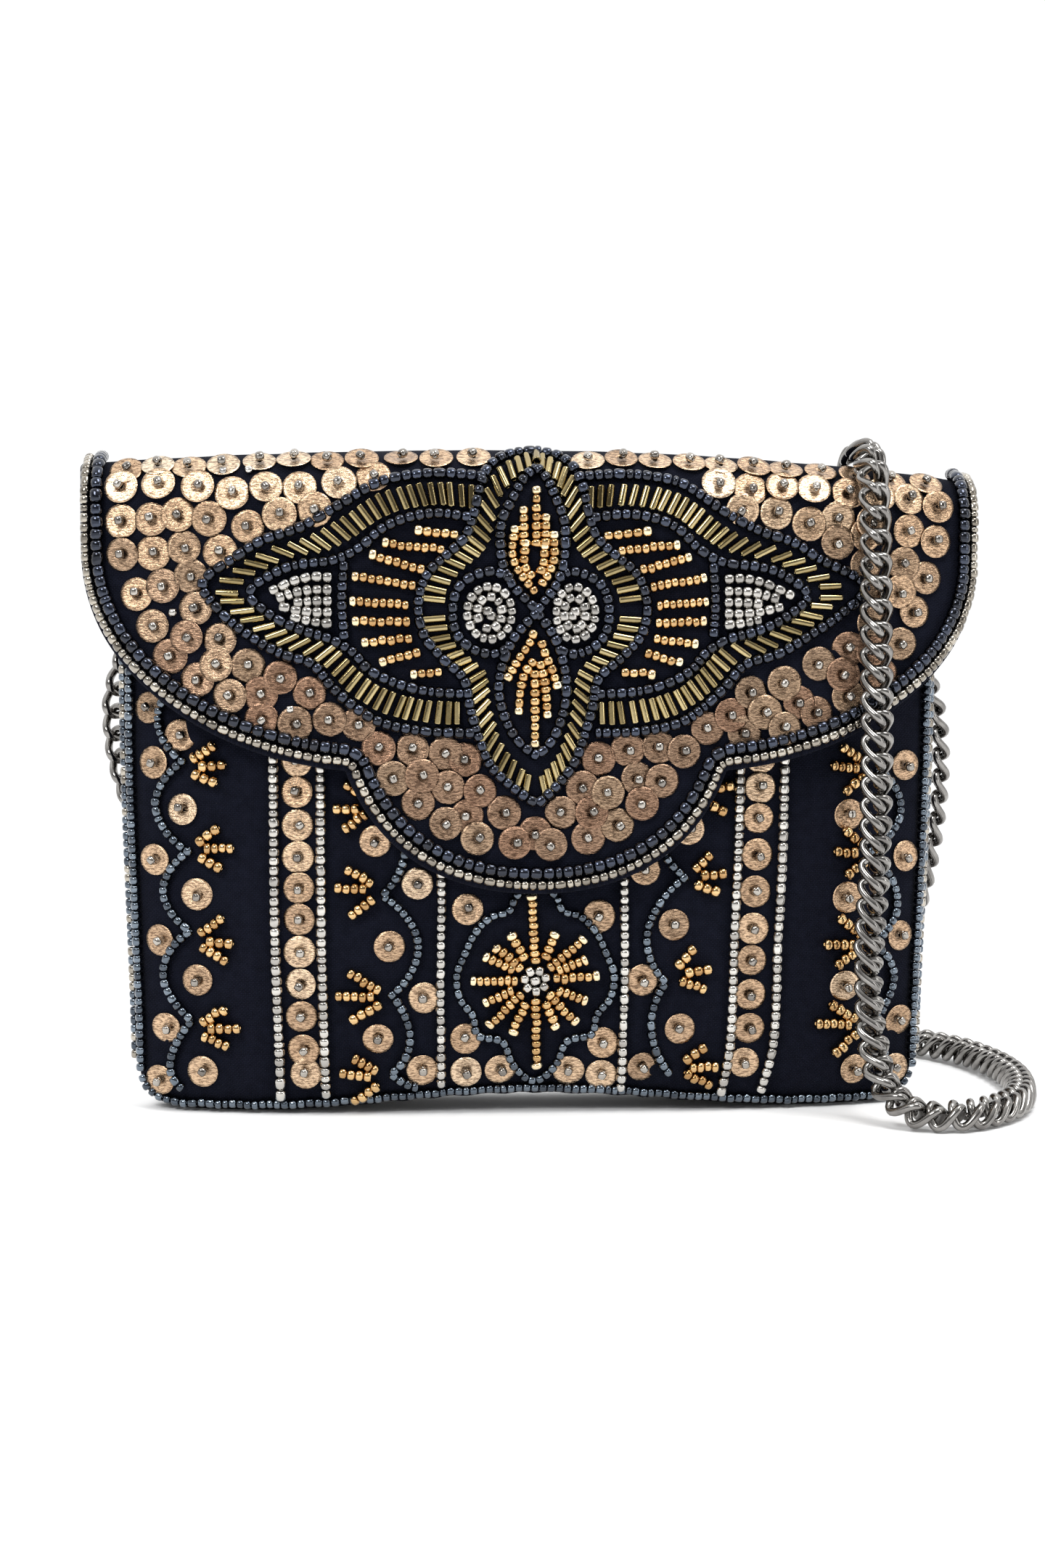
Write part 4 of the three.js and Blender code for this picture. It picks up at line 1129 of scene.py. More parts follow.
# The rest of the flap's sequins, as (x, z) of the front view.
SEQUINS = [
    (-107.9, 165.5), (-98.1, 166.1), (-87.9, 165.5), (-70.3, 165.5), (-61.7, 165.5), (-51.5, 166.6),
    (-79.1, 164.0), (-42.6, 168.4), (47.6, 167.2), (55.9, 165.8), (64.4, 166.4), (72.8, 165.7),
    (82.2, 164.8), (90.6, 164.4), (98.9, 163.6), (106.8, 161.6), (-57.7, 160.0), (53.7, 160.6),
    (62.7, 159.8), (79.4, 158.6), (88.4, 157.6), (-107.9, 156.8), (-99.9, 157.3),
    (-93.1, 158.5), (-85.0, 157.5), (-75.0, 155.5), (-66.8, 158.6), (71.4, 157.0), (86.8, 154.4),
    (98.7, 155.4), (-107.5, 148.2), (-99.5, 148.6), (-91.5, 150.1), (-82.2, 148.9), (79.1, 152.3),
    (106.2, 152.7), (-89.8, 142.7), (87.0, 146.4), (97.3, 146.7), (103.8, 143.1), (-103.9, 137.9),
    (-97.0, 140.1), (-99.8, 129.7), (-88.5, 134.4), (89.0, 131.0), (100.6, 134.1), (-90.9, 126.9),
    (-82.3, 126.3), (82.4, 124.3), (96.8, 125.6), (-95.2, 121.9), (-83.3, 119.8), (-75.1, 119.6),
    (74.1, 120.4), (80.7, 117.5), (91.5, 117.4), (-88.1, 115.9), (-79.7, 111.7), (-71.8, 112.3),
    (-66.7, 116.6), (-59.2, 112.6), (56.1, 112.9), (64.9, 115.3), (82.2, 111.7), (-71.6, 105.7),
    (-54.0, 105.8), (50.9, 106.9), (59.7, 107.7), (68.9, 110.3), (73.5, 107.5), (-62.9, 104.6),
    (-46.6, 104.6), (44.6, 103.5), (54.4, 102.3), (64.9, 103.4), (-41.4, 98.3), (-32.7, 98.0),
    (-24.1, 96.9), (-18.9, 95.4), (15.9, 95.6), (23.6, 98.1), (31.7, 98.7), (38.3, 97.5),
    (-37.7, 90.5), (-30.2, 91.1), (-23.4, 88.2), (-15.1, 87.3), (11.7, 88.1), (26.1, 90.5),
    (32.5, 89.8), (-31.2, 84.0), (-8.8, 81.6), (6.2, 81.6), (14.1, 81.6), (18.3, 86.8),
    (27.3, 83.9), (-24.0, 78.8), (-18.4, 80.8), (-0.7, 76.2), (20.9, 78.3), (-15.8, 74.9),
    (-6.0, 73.8), (3.4, 73.3), (13.2, 75.0), (96.4, 139.4), (91.4, 139.0), (88.6, 123.6),
]

# Single silver beads between them.
LOOSE_BEADS = [(-81.4, 169.2), (-74.8, 169.6), (-94.4, 133.2), (-64.2, 108.4)]


def scatter_sequins(work, surface):
    """Overlapping sequins all over the flap outside its medallion, paler towards the top line as painted glare from
    the light above.
    """
    top_row = float(np.interp(-TOP_ROW_Z, -FLAP.line[:, 0], FLAP.run))
    places = [(x, top_row + rng.uniform(-0.8, 0.8)) for x in TOP_SEQUINS]
    places += [(x, float(flap_s(x, z))) for x, z in SEQUINS]
    levels = []
    for i, (x, s) in enumerate(places):
        used = {levels[j] for j in range(i) if math.dist((x, s), places[j]) < 9.6}
        levels.append(min(set(range(len(used) + 1)) - used))
        # Paler towards the top line, as painted glare from the light above, with a random change of tone from sequin
        # to sequin.
        shade = 0.75 - 0.55 * smoothstep(s, 14, 80) + rng.uniform(-0.22, 0.22)
        work.sequin(surface, x, s, FLAP_SEQUIN, 0.45 + 0.3 * levels[i], 3.0, float(np.clip(shade, 0.02, 1)))
    for x, z in LOOSE_BEADS:
        work.bead("silver", surface, x, float(flap_s(x, z)), (1, 0), 1.9, 1.1)


# ------------------------------------------------------------------ bead work on the body

PANEL_STAR = (0.0, 36.5)
# Each vine goes from cusp to cusp by way of the hollow between them, as (x, z) of the front view.
VINES = [
    [(-96.4, 112), (-98.6, 103), (-92.4, 94), (-99.4, 82), (-91, 70.3), (-97.6, 59.5), (-90.5, 49.3),
     (-97.8, 37.6), (-90.4, 25.3), (-96.2, 14), (-93, 6.6)],
    [(-44, 86), (-34.4, 74), (-40.4, 59.2), (-30.9, 46.6), (-37.9, 33), (-33, 21), (-38.2, 11.7), (-35, 9.4),
     (-31.6, 8)],
    [(45, 86), (33.6, 75.4), (39.6, 63.9), (29.6, 49.6), (34.8, 35.9), (31, 23), (37.3, 9.8)],
    [(92, 92), (99, 80.6), (90, 69.7), (98.2, 56), (90.4, 44.7), (97.6, 35), (90, 20.8), (96.2, 13), (93.4, 6.6)],
]
# Root of each spray, its direction in degrees and how far it reaches.
SPRAYS = [
    (-92.6, 92.8, 0, 12.2), (-91.2, 70.6, 2, 12.2), (-90.8, 46.9, 0, 12.4), (-90.6, 23.0, 2, 12.8),
    (-41.8, 82.6, 182, 12.2), (-40.0, 60.4, 180, 13.2), (-38.0, 32.4, 180, 14.4), (-38.8, 10.6, 178, 13.0),
    (39.2, 63.8, 4, 11.8), (35.2, 37.6, 4, 12.2), (37.2, 12.6, 4, 12.6), (41.0, 86.0, 0, 11.6),
    (91.2, 92.0, 180, 12.8), (91.0, 69.4, 180, 11.6), (90.6, 45.0, 178, 13.6), (90.0, 22.6, 178, 14.2),
]
# Silver bead columns, and the sequins between them.
LADDERS = [
    [(-68.9, 96), (-68.4, 50), (-67.2, 5.6)], [(-56.4, 96), (-56.2, 50), (-55.2, 5.6)],
    [(54.2, 96), (53.0, 50), (52.2, 18), (50.4, 5.2)], [(66.4, 96), (65.0, 50), (64.0, 18), (61.0, 5.2)],
]
LADDER_SEQUINS = [
    (-62.7, 94.6), (-62.7, 86.4), (-62.5, 77.7), (-62.4, 69.3), (-62.2, 61.2), (-62.1, 52.9), (-62, 44.3),
    (-61.8, 35.7), (-61.6, 26.9), (-61.2, 17.8), (-60.6, 11.4), (60, 95.4), (59.8, 87.4), (59.2, 79.3),
    (58.9, 69.7), (58.5, 59.8), (58.2, 49.8), (58.0, 41.2), (57.8, 31.9), (57.6, 22.8), (56.4, 13.4),
]
PANEL_SEQUINS = [
    (-101.8, 108), (-100.4, 93.6), (-100.2, 67.8), (-99, 46.3), (-97.7, 22.7), (-99.4, 8.4), (-93.1, 101),
    (-92.7, 81.4), (-89.1, 59), (-89.1, 36.1), (-88, 11.3), (-42.2, 73.6), (-31.2, 62.4), (-38.5, 45.7),
    (-29.4, 32), (-41.5, 21), (-29.8, 12.4), (40.5, 76.6), (29, 65.9), (36.8, 51.1), (28.6, 36.5),
    (38.8, 23), (28.8, 12.8), (100.6, 92.7), (101, 68), (99.9, 46.3), (100.1, 23), (99.2, 9.6), (87.2, 10.4),
    (84.6, 79.8), (84.0, 57.6), (83.8, 33.6), (-18, 55.6), (16.8, 53.6), (-18.4, 20.8), (-18.2, 11.8), (-9.1, 12.4),
    (9.2, 12), (18.2, 19.4), (18, 10.6),
]
# Left half of the star's outline.
STAR_PETALS = [
    (0, 61.8), (-5.2, 59.1), (-7.1, 55.2), (-11.7, 53.7), (-15.9, 49.5), (-19.1, 42.8), (-20.8, 38.1),
    (-19.8, 31.6), (-16.4, 27.1), (-15.2, 22), (-8.6, 20.1), (-5.8, 14), (-1.4, 9.8),
]
# How far each of the star's rays reaches, from its right anticlockwise.
STAR_REACH = [17.2, 15.0, 17.6, 14.4, 23.4, 14.8, 14.6, 15.6, 17.4, 15.2, 17.6, 15.8, 23.6, 14.4, 16.2, 15.0]
SPRAY_PITCH, STAR_PITCH = 2.2, 1.95  # from bead to bead


def scallops(points):
    """A line that swings out through each hollow and comes to a point at each cusp."""
    p = np.asarray(points, float)
    t = np.linspace(0, 1, 15)[:-1, None]
    arcs = []
    for k in range(0, len(p) - 2, 2):
        start, hollow, end = p[k:k + 3]
        arcs.append(start + (end - start) * t + (hollow - (start + end) / 2) * np.sin(math.pi * t) ** 0.8)
    return np.vstack([*arcs, p[2 * ((len(p) - 1) // 2):]])


def panel_bead_work():
    """The front panel's edge row, columns, vines, sprays, star and sequins."""
    work, view = BeadWork(), PANEL
    marks = stitched_panel
    inset, foot_inset = 1.7, 3.0
    side_line = [(-(body_half(z) - inset), z) for z in range(150, 14, -8)]
    corner_x, corner_r = BODY_HALF_BASE - BASE_CORNER, BASE_CORNER - inset
    corner = [
        (-corner_x - corner_r * math.cos(a), BASE_CORNER - (BASE_CORNER - foot_inset) * math.sin(a))
        for a in map(math.radians, (0, 22, 45, 67, 90))
    ]
    foot = [(-x, foot_inset + float(arch(x, foot_inset))) for x in range(88, 0, -8)]
    left = side_line + corner + foot
    line = smooth_line(left + [(0, foot_inset + ARCH_RISE)] + mirrored(left)[::-1])
    low = line[:, 1] < 9.5
    first, last = np.flatnonzero(low)[[0, -1]]
    for part, length, radius in (
        (line[:first + 1], 2.1, 1.35), (line[first:last + 1], 2.0, 1.25), (line[last:], 2.1, 1.35),
    ):
        work.row("steel", view, part, length, radius, 0.16, straight=True, marks=marks)
    for line in LADDERS:
        work.row("silver", view, line, 2.35, 1.5, 0.2, marks=marks)
    for x in (-24.8, 23.4):
        work.row("silver", view, [(x, 66), (x * 1.01, 36), (x, 7.4)], 2.25, 1.4, 0.2, marks=marks)
    for line in VINES:
        work.row("steel", view, scallops(line), 2.05, 1.3, 0.2, straight=True, marks=marks)
    for x, z in LADDER_SEQUINS + PANEL_SEQUINS:
        work.sequin(view, x, z, PANEL_SEQUIN, 0.45, 4.5, rng.uniform(0.45, 0.9))
    for x, z, facing, reach in SPRAYS:
        for turn, start, end in ((-32, 3.2, reach - 1.2), (0, 4.4, reach), (32, 3.0, reach - 1.4)):
            angle = math.radians(facing + turn + rng.normal(0, 4))
            c, s = math.cos(angle), math.sin(angle)
            end = end + rng.uniform(-0.8, 0.5)
            count = max(3, round((end - start) / SPRAY_PITCH))
            ends = (x + start * c, z + start * s), (x + end * c, z + end * s)
            work.ray(view, *ends, count, marks, tip=False, radius=1.58)

    cx, cz = PANEL_STAR
    ring = STAR_PETALS + mirrored(STAR_PETALS[1:])[::-1]
    work.row("steel", view, smooth_line(ring, closed=True), 2.05, 1.25, 0.2, straight=True, marks=marks)
    for i, reach in enumerate(STAR_REACH):
        a = math.radians(i * 22.5 + rng.normal(0, 2))
        c, s = math.cos(a), math.sin(a)
        start = 4.6 if i % 2 == 0 else 6.2
        count = round((reach - start) / STAR_PITCH)
        ends = (cx + start * c, cz + start * s), (cx + reach * c, cz + reach * s)
        work.ray(view, *ends, count, marks, radius=1.52)
    for radius, count in ((0.01, 1), (2.9, 7)):
        for i in range(count):
            a = 2 * math.pi * i / count + 0.3
            c, s = math.cos(a), math.sin(a)
            work.bead("silver", view, cx + radius * c, cz + radius * s, (-s, c), 2.2, 1.42)
    return work


def seam_rows(work):
    """The row of beads down each side seam."""
    for side in (-1, 1):
        z = 14.0
        while z < 149:
            size = 2.15 * rng.uniform(0.85, 1.15)
            x = side * (float(body_half(z)) + 1.15)
            place = np.array([x, SEAM_Y - 0.5, z - float(droop(x, z))])
            key = "steel" if rng.uniform() < 0.55 else "pewter"
            upright = (rng.normal(0, 0.06), rng.normal(0, 0.06), 1.0)
            work.add(key, place, upright, (side * 1.0, -0.5, 0.0), (size / 2, 1.15, 1.1))
            z += size + 0.1


# ------------------------------------------------------------------ stitches


def stitches(name, points, normals, radius=0.2, length=2.4, gap=0.9):
    """A line of sewing stitches that stand a little off the cloth."""
    parts = []
    run = lengths(points)
    at = 0.6
    while at + length < run[-1]:
        t = np.linspace(0, 1, 7)
        line = along(points, at + t * length)
        out = np.column_stack([np.interp(at + t * length, run, normals[:, k]) for k in range(3)])
        line = line + out * (np.sin(t * math.pi) * 0.16 - 0.02)[:, None]
        parts.append(swept(line, radius, 6))
        at += length + gap
    return mesh_object(name, *gathered(parts), THREAD_LOOK)


# ------------------------------------------------------------------ hardware

SNAP_Z = 80.0  # height of the snap's middle


def facing_front(name, profile, y, material, body, slot, node):
    """A turned part of the snap, whose profile is (distance towards the front, radius)."""
    points, faces = turned(profile, 64)
    turn = np.array(Vector((0, -1, 0)).to_track_quat("X", "Z").to_matrix())
    obj = mesh_object(name, points @ turn.T + (0, y, SNAP_Z), [faces], material, sharp=35)
    shown_as(obj, body, slot, node)


def capped(profile):
    """Closes an open profile on its axis with a vanishing hole, so that turned() makes a closed solid."""
    return [(h, max(r, 0.012)) for h, r in profile]


def snap_parts():
    """The magnetic snap: its case, magnet and back plate on the panel, its plug and back plate on the flap."""
    s, _ = body_s(-1, 0.0, SNAP_Z)
    panel_y = float(body_point(-1, np.array(0.0), s)[1])
    flap_y = float(cover_point(FLAP, np.array(0.0), flap_s(0.0, SNAP_Z), 2.9)[1])
    facing_front("snap_case", capped([
        (0, 0), (0, 6.5), (0.15, 6.8), (1.5, 6.8), (1.7, 6.6), (1.7, 6.25), (1.55, 6.1), (0.45, 6.1), (0.45, 0),
    ]), panel_y - 0.5, NICKEL, "bag", "nickel", "snap_socket")
    facing_front("snap_ring_magnet", [
        (0.75, 3.1), (0.75, 5.8), (1.4, 5.8), (1.55, 5.65), (1.55, 3.25), (1.4, 3.1),
    ], panel_y - 0.5, MAGNET, "bag", "magnet_dark", "snap_magnet")
    facing_front("snap_plug", capped([
        (-1.6, 0), (-1.6, 2.0), (-1.4, 2.4), (-0.4, 2.4), (-0.4, 6.0), (-0.25, 6.2), (0, 6.2), (0, 0),
    ]), flap_y + 0.5, NICKEL, "flap", "nickel", "snap_stud")
    plate = capped([(0, 0), (0, 6.3), (-0.6, 6.3), (-0.6, 0)])
    facing_front("snap_back_plate", plate, panel_y + 2.1, NICKEL, "bag", "nickel", "snap_socket_washer")
    plate = capped([(0, 0), (0, 5.9), (-0.5, 5.9), (-0.5, 0)])
    facing_front("snap_flap_plate", plate, flap_y - 0.8, NICKEL, "flap", "nickel", "snap_stud_washer")


# Where the tabs are and how far back the ring's bar and the sewn plate stand from the seam plane.
TAB_X, BAR_Z, BAR_BACK, PLATE_BACK = 108.0, 161.0, 10.4, 4.6
RING_RADIUS, RING_WIRE, RING_BAR, RING_TILT = 6.2, 1.1, 3.4, math.radians(25)
HOOK_DEPTH, HOOK_HEIGHT, HOOK_WIRE = 4.8, 8.5, 1.2  # half sizes of the hook's oval, and its wire's radius
# The hook's wire is thinner where it passes through the ring, as radii at points along it.
HOOK_TAPER = ((0, 14, 40, 60, 71), (1.08, 1.05, 1.12, HOOK_WIRE, 1.14))
EYE_RADIUS = 4.4


def tab_part(name, x):
    """A webbing tab: a sewn plate, its neck and the loop round the ring's bar."""
    reach, outer, inner, neck, half, thick = BAR_BACK - PLATE_BACK, 3.2, 2.0, 1.6, 6.0, 1.4
    start = math.asin(neck / outer)
    neck_end = reach - outer * math.cos(start)
    arc = np.linspace(-(math.pi - start), math.pi - start, 40)
    loop = [(reach + outer * math.cos(a), outer * math.sin(a)) for a in arc]
    outline = [(0, -half), (thick, -half), (thick, -neck), (neck_end, -neck), *loop]
    outline += [(neck_end, neck), (thick, neck), (thick, half), (0, half)]
    outline = spaced(np.array(outline + outline[:1], float), 0.45)[:-1]
    hole_angle = np.linspace(0, 2 * math.pi, 41)[:-1]
    hole = np.array([(reach + inner * math.cos(a), inner * math.sin(a)) for a in hole_angle])
    width, bevel = 7.4, 0.35
    levels = [(-width / 2, bevel), (-width / 2 + bevel * 0.4, bevel * 0.3), (-width / 2 + bevel, 0.0)]
    levels += [(-w, b) for w, b in levels[::-1]]
    edges = [(i, (i + 1) % len(outline)) for i in range(len(outline))]
    edges += [(len(outline) + i, len(outline) + (i + 1) % len(hole)) for i in range(len(hole))]

    def shrunk(line, by, sign):
        slope = unit(np.roll(line, -1, 0) - np.roll(line, 1, 0))
        return line - np.stack([slope[:, 1], -slope[:, 0]], -1) * by * sign

    points = []
    for w, by in levels:
        for line, sign in ((outline, 1), (hole, -1)):
            points.append(np.column_stack([np.full(len(line), w), shrunk(line, by, sign)]))
    size = len(outline) + len(hole)
    faces = []
    for k in range(len(levels) - 1):
        base, ahead = k * size, (k + 1) * size
        for offset, count, flip in ((0, len(outline), False), (len(outline), len(hole), True)):
            i = np.arange(count)
            quad = np.stack([base + offset + i, base + offset + (i + 1) % count,
                             ahead + offset + (i + 1) % count, ahead + offset + i], -1)
            faces.append(quad[:, ::-1] if flip else quad)
    flat = [Vector(p) for p in np.vstack([outline, hole])]
    made, _, cap, origins, _, _ = geometry.delaunay_2d_cdt(flat, edges, [], 1, 1e-6)
    order = [o[0] for o in origins]
    middle = np.array([np.mean([made[i] for i in f], axis=0) for f in cap])
    keep = ~inside(middle, hole)
    cap = np.array([[order[i] for i in f] for f, k in zip(cap, keep) if k])
    faces += [cap[:, ::-1], cap + (len(levels) - 1) * size]
    points = np.vstack(points)
    uv = np.column_stack([points[:, 0], points[:, 1] + points[:, 2]])
    placed = points + (x, SEAM_Y + PLATE_BACK, BAR_Z)
    return mesh_object(name, placed, faces, WEBBING, uv=uv, sharp=50)


def wire_part(name, line, radius, body, node, closed=False, extra=()):
    """A piece of gunmetal wire along a line, joined with any extra (points, faces)."""
    obj = mesh_object(name, *gathered([swept(line, radius, 20, closed), *extra]), GUNMETAL)
    shown_as(obj, body, "gunmetal", node)


def oval(degrees, centre_z):
    """The hook's oval in the plane across the bar, at angles from its back round by way of its top."""
    turn = np.radians(degrees)
    return np.stack([
        np.zeros(len(turn)), HOOK_DEPTH * np.cos(turn), centre_z + HOOK_HEIGHT * np.sin(turn),
    ], -1)


def hardware():
    """On each side a cloth tab, a D ring in it, and a swivel clasp with a hook, a gate and an eye."""
    tilt_y, tilt_z = math.sin(RING_TILT), -math.cos(RING_TILT)
    bow = (SEAM_Y + BAR_BACK + (RING_BAR + RING_RADIUS) * tilt_y, BAR_Z + (RING_BAR + RING_RADIUS) * tilt_z)
    centre_z = -HOOK_HEIGHT + HOOK_WIRE + RING_WIRE + 0.4
    bottom = centre_z - HOOK_HEIGHT
    for side, sign in (("left", -1), ("right", 1)):
        x = sign * TAB_X
        shown_as(tab_part(f"tab_{side}", x), "bag", "canvas_black", f"ring_tab_{side}")
        tab_back = SEAM_Y + PLATE_BACK + 1.4
        for k, dz in enumerate((-4.6, 4.6)):
            ends = np.array([(x - 3.0, tab_back, BAR_Z + dz), (x + 3.0, tab_back, BAR_Z + dz)])
            line = spaced(ends, 0.5)
            outward = np.tile((0.0, 1.0, 0.0), (len(line), 1))
            row = stitches(f"tab_stitches_{side}_{k}", line, outward, 0.14, 1.2, 0.6)
            shown_as(row, "bag", "canvas_black")

        angle = np.linspace(0, 2 * math.pi, 97)[:-1]
        line = np.stack([
            RING_RADIUS * np.cos(angle), np.zeros(96), np.minimum(RING_RADIUS * np.sin(angle), RING_BAR),
        ], -1)
        c, s = math.cos(RING_TILT), math.sin(RING_TILT)
        down = np.stack([line[:, 0], -line[:, 2] * s, line[:, 2] * c], -1)
        place = np.array([x, SEAM_Y + BAR_BACK + RING_BAR * tilt_y, BAR_Z + RING_BAR * tilt_z])
        wire_part(f"ring_{side}", down + place, RING_WIRE, f"ring_{side}", f"d_ring_{side}", closed=True)

        origin = np.array([x, bow[0], bow[1]])
        loop = oval(np.linspace(39, -54 + 360, 72), centre_z)
        stem, stem_faces = turned(capped([
            (-6.3, 0), (-6.3, 1.6), (-6.1, 1.9), (-5.7, 1.9), (-5.5, 1.6), (-5.5, 1.15), (0.2, 1.15), (0.2, 0),
        ]), 32)
        up = np.stack([stem[:, 1], stem[:, 2], stem[:, 0] + bottom], -1) + origin
        taper = np.interp(np.arange(len(loop)), *HOOK_TAPER)
        stem = [(up, [stem_faces])]
        wire_part(f"hook_{side}", loop + origin, taper, f"clasp_{side}", f"clasp_hook_{side}", extra=stem)
        gate = oval(np.linspace(32, -47, 28), centre_z)
        wire_part(f"gate_{side}", gate + origin, 1.0, f"gate_{side}", f"clasp_gate_{side}")
        collar, collar_faces = turned([
            (-4.1, 1.55), (-4.1, 2.6), (-3.9, 2.9), (-2.1, 2.9), (-1.9, 2.6), (-1.9, 1.55),
        ], 32)
        up = np.stack([collar[:, 1], collar[:, 2], collar[:, 0] + bottom], -1) + origin
        turn = np.linspace(math.pi / 2 + 0.36, 2.5 * math.pi - 0.36, 60)
        eye_z = bottom - 4.1 - EYE_RADIUS + 0.6 + EYE_RADIUS * np.sin(turn)
        eye = np.stack([np.zeros(60), EYE_RADIUS * np.cos(turn), eye_z], -1)
        wire_part(f"eye_{side}", eye + origin, 1.0, "bag", f"clasp_eye_{side}", extra=[(up, [collar_faces])])


# ------------------------------------------------------------------ chain

CHAIN_WIDTH = 8.4
# From the left clasp's eye in a low swing behind the bag, up over its top, down in front, round
# on the floor and up to the right clasp's eye.
CHAIN_ROUTE = [
    (-108, 18.4, 123.6), (-112, 18.6, 107), (-108.4, 19.2, 84), (-94, 20.3, 60), (-76, 21.4, 44.5),
    (-50, 22.2, 36), (-22, 22.4, 38), (8, 22.4, 51.5), (34, 22, 74), (55, 20.6, 102), (71, 18.4, 132),
    (81, 16.4, 155), (86.4, 15, 166), (88.4, 11, 173.6), (89, 2, 176.2), (88.9, -7.5, 175.2),
    (88.7, -15.4, 169.4), (88.7, -18.8, 158.6), (88.8, -20.6, 146), (89, -21.8, 126), (89.4, -22.8, 98),
    (89, -23.6, 66), (87.6, -24.5, 40), (88.8, -26.6, 21), (92, -31, 9.5), (99, -37.4, 4.6), (109.5, -39, 4.5),
    (120.5, -32, 4.5), (130, -18.5, 4.5), (136, 4, 4.5), (135.5, 28, 4.5), (128.5, 50, 4.5),
    (114, 66, 4.5), (97, 66.5, 4.5), (87.5, 54, 5.8), (90.5, 41, 12), (99.5, 30.5, 25),
    (108.5, 23.6, 45), (114, 19.7, 74), (114.2, 18.7, 102), (108, 18.4, 123.6),
]
# A link's wire radius, half length, twist out of its plane and slant in it (radians).
LINK_WIRE, LINK_HALF, LINK_RISE, LINK_SLANT = 1.1, 4.35, -2.4, 0.22
# Share of the route and link pitch there: the links close up where nothing pulls on them.
LINK_PITCH = ((0, 6.1), (0.46, 6.1), (0.55, 5.35), (0.84, 5.35), (0.92, 6.1), (1, 6.1))
# Share of the route and where the flat side faces there: off the bag where the chain lies against it,
# and up on the floor.
LINK_FACING = {
    0.0: (0, 1, 0.02), 0.30: (0, 1, 0.1), 0.345: (0, 0.8, 0.6), 0.365: (0, 0.1, 1), 0.385: (0, -0.75, 0.6),
    0.41: (0.1, -1, 0.1), 0.46: (0.3, -0.95, 0.1), 0.52: (0.6, -0.8, 0.05), 0.57: (0.75, -0.65, 0.2),
    0.595: (0.75, -0.3, 0.65), 0.615: (0.3, -0.25, 0.95), 0.68: (0, -0.2, 1), 0.80: (0, -0.45, 0.9),
    0.85: (-0.1, 0.1, 1), 0.90: (0.4, 0.85, 0.35), 0.93: (0.9, 0.45, 0), 0.985: (0.9, 0.45, 0),
    1.0: (0.5, 0.9, 0),
}


def link_shape():
    """One twisted curb link: X along the chain, Y across it, Z out of its flat side."""
    turn = np.linspace(0, 2 * math.pi, 41)[:-1]
    c, s = np.cos(turn), np.sin(turn)
    half_width = CHAIN_WIDTH / 2 - LINK_WIRE
    line = np.stack([LINK_HALF * c, half_width * s, LINK_RISE * np.sin(2 * turn)], -1)
    cos, sin = math.cos(LINK_SLANT), math.sin(LINK_SLANT)
    slant = np.array([[cos, sin, 0], [-sin, cos, 0], [0, 0, 1]])
    line = spaced(np.vstack([line, line[:1]]), 0.6)[:-1] @ slant
    points, faces = swept(line, LINK_WIRE, 12, closed=True)
    return points, faces[0]


def chain():
    """Curb links along the strap's route, joined into one mesh."""
    route = smooth_line(CHAIN_ROUTE, steps=24)
    total = lengths(route)[-1]
    steps = np.linspace(0, 1, 2001)
    pitch = np.interp(steps, *zip(*LINK_PITCH))
    passed = np.concatenate([[0], np.cumsum(total / 2000 / pitch[1:])])
    count = round(passed[-1])
    at = np.interp((np.arange(count) + 0.5) * passed[-1] / count, passed, steps * total)
    here = along(route, at)
    ahead, behind = along(route, np.minimum(at + 2, total)), along(route, np.maximum(at - 2, 0))
    share = at / total
    keys, values = np.array(list(LINK_FACING)), np.array(list(LINK_FACING.values()), float)
    normal = np.column_stack([np.interp(share, keys, values[:, k]) for k in range(3)])
    tangent = unit(ahead - behind)
    normal = unit(normal - tangent * np.sum(normal * tangent, 1)[:, None])
    frames = []
    for p, t, n in zip(here, tangent, normal):
        lean = n + np.cross(t, n) * rng.normal(0, 0.035)
        frames.append((p, t, lean / np.linalg.norm(lean), (1, 1, 1)))
    points, faces = copies(link_shape(), frames)
    points[:, 2] = np.maximum(points[:, 2], 0.05)
    obj = mesh_object("curb_chain", points, faces, CHAIN_METAL)
    shown_as(
        obj, "bag", "chain_gunmetal",
        "chain_back_run", "chain_front_drape", "chain_floor_loop", "chain_right_run",
    )
    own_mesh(obj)


# ------------------------------------------------------------------ assembly


def bends_with_flap(obj, slot, *nodes):
    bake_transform(obj)
    if nodes:
        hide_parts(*nodes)


def bends_with_yoke(obj, slot, *nodes):
    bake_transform(obj)
    if nodes:
        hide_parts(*nodes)


def yoke_outline(trim=0.0):
    """The rear half of the fold, from the top line to where it is sewn on the back panel."""
    depth = YOKE.total - trim
    half = FLAP_HALF - 0.05 - trim
    round_r = 5.0
    corner = [(half - round_r + round_r * math.cos(a), depth - round_r + round_r * math.sin(a))
              for a in np.linspace(0, math.pi / 2, 10)]
    right = [(half, 0.0)] + corner
    left = [(-x, s) for x, s in right[::-1]]
    return spaced(np.array(right + left + right[:1]), 1.4)[:-1]


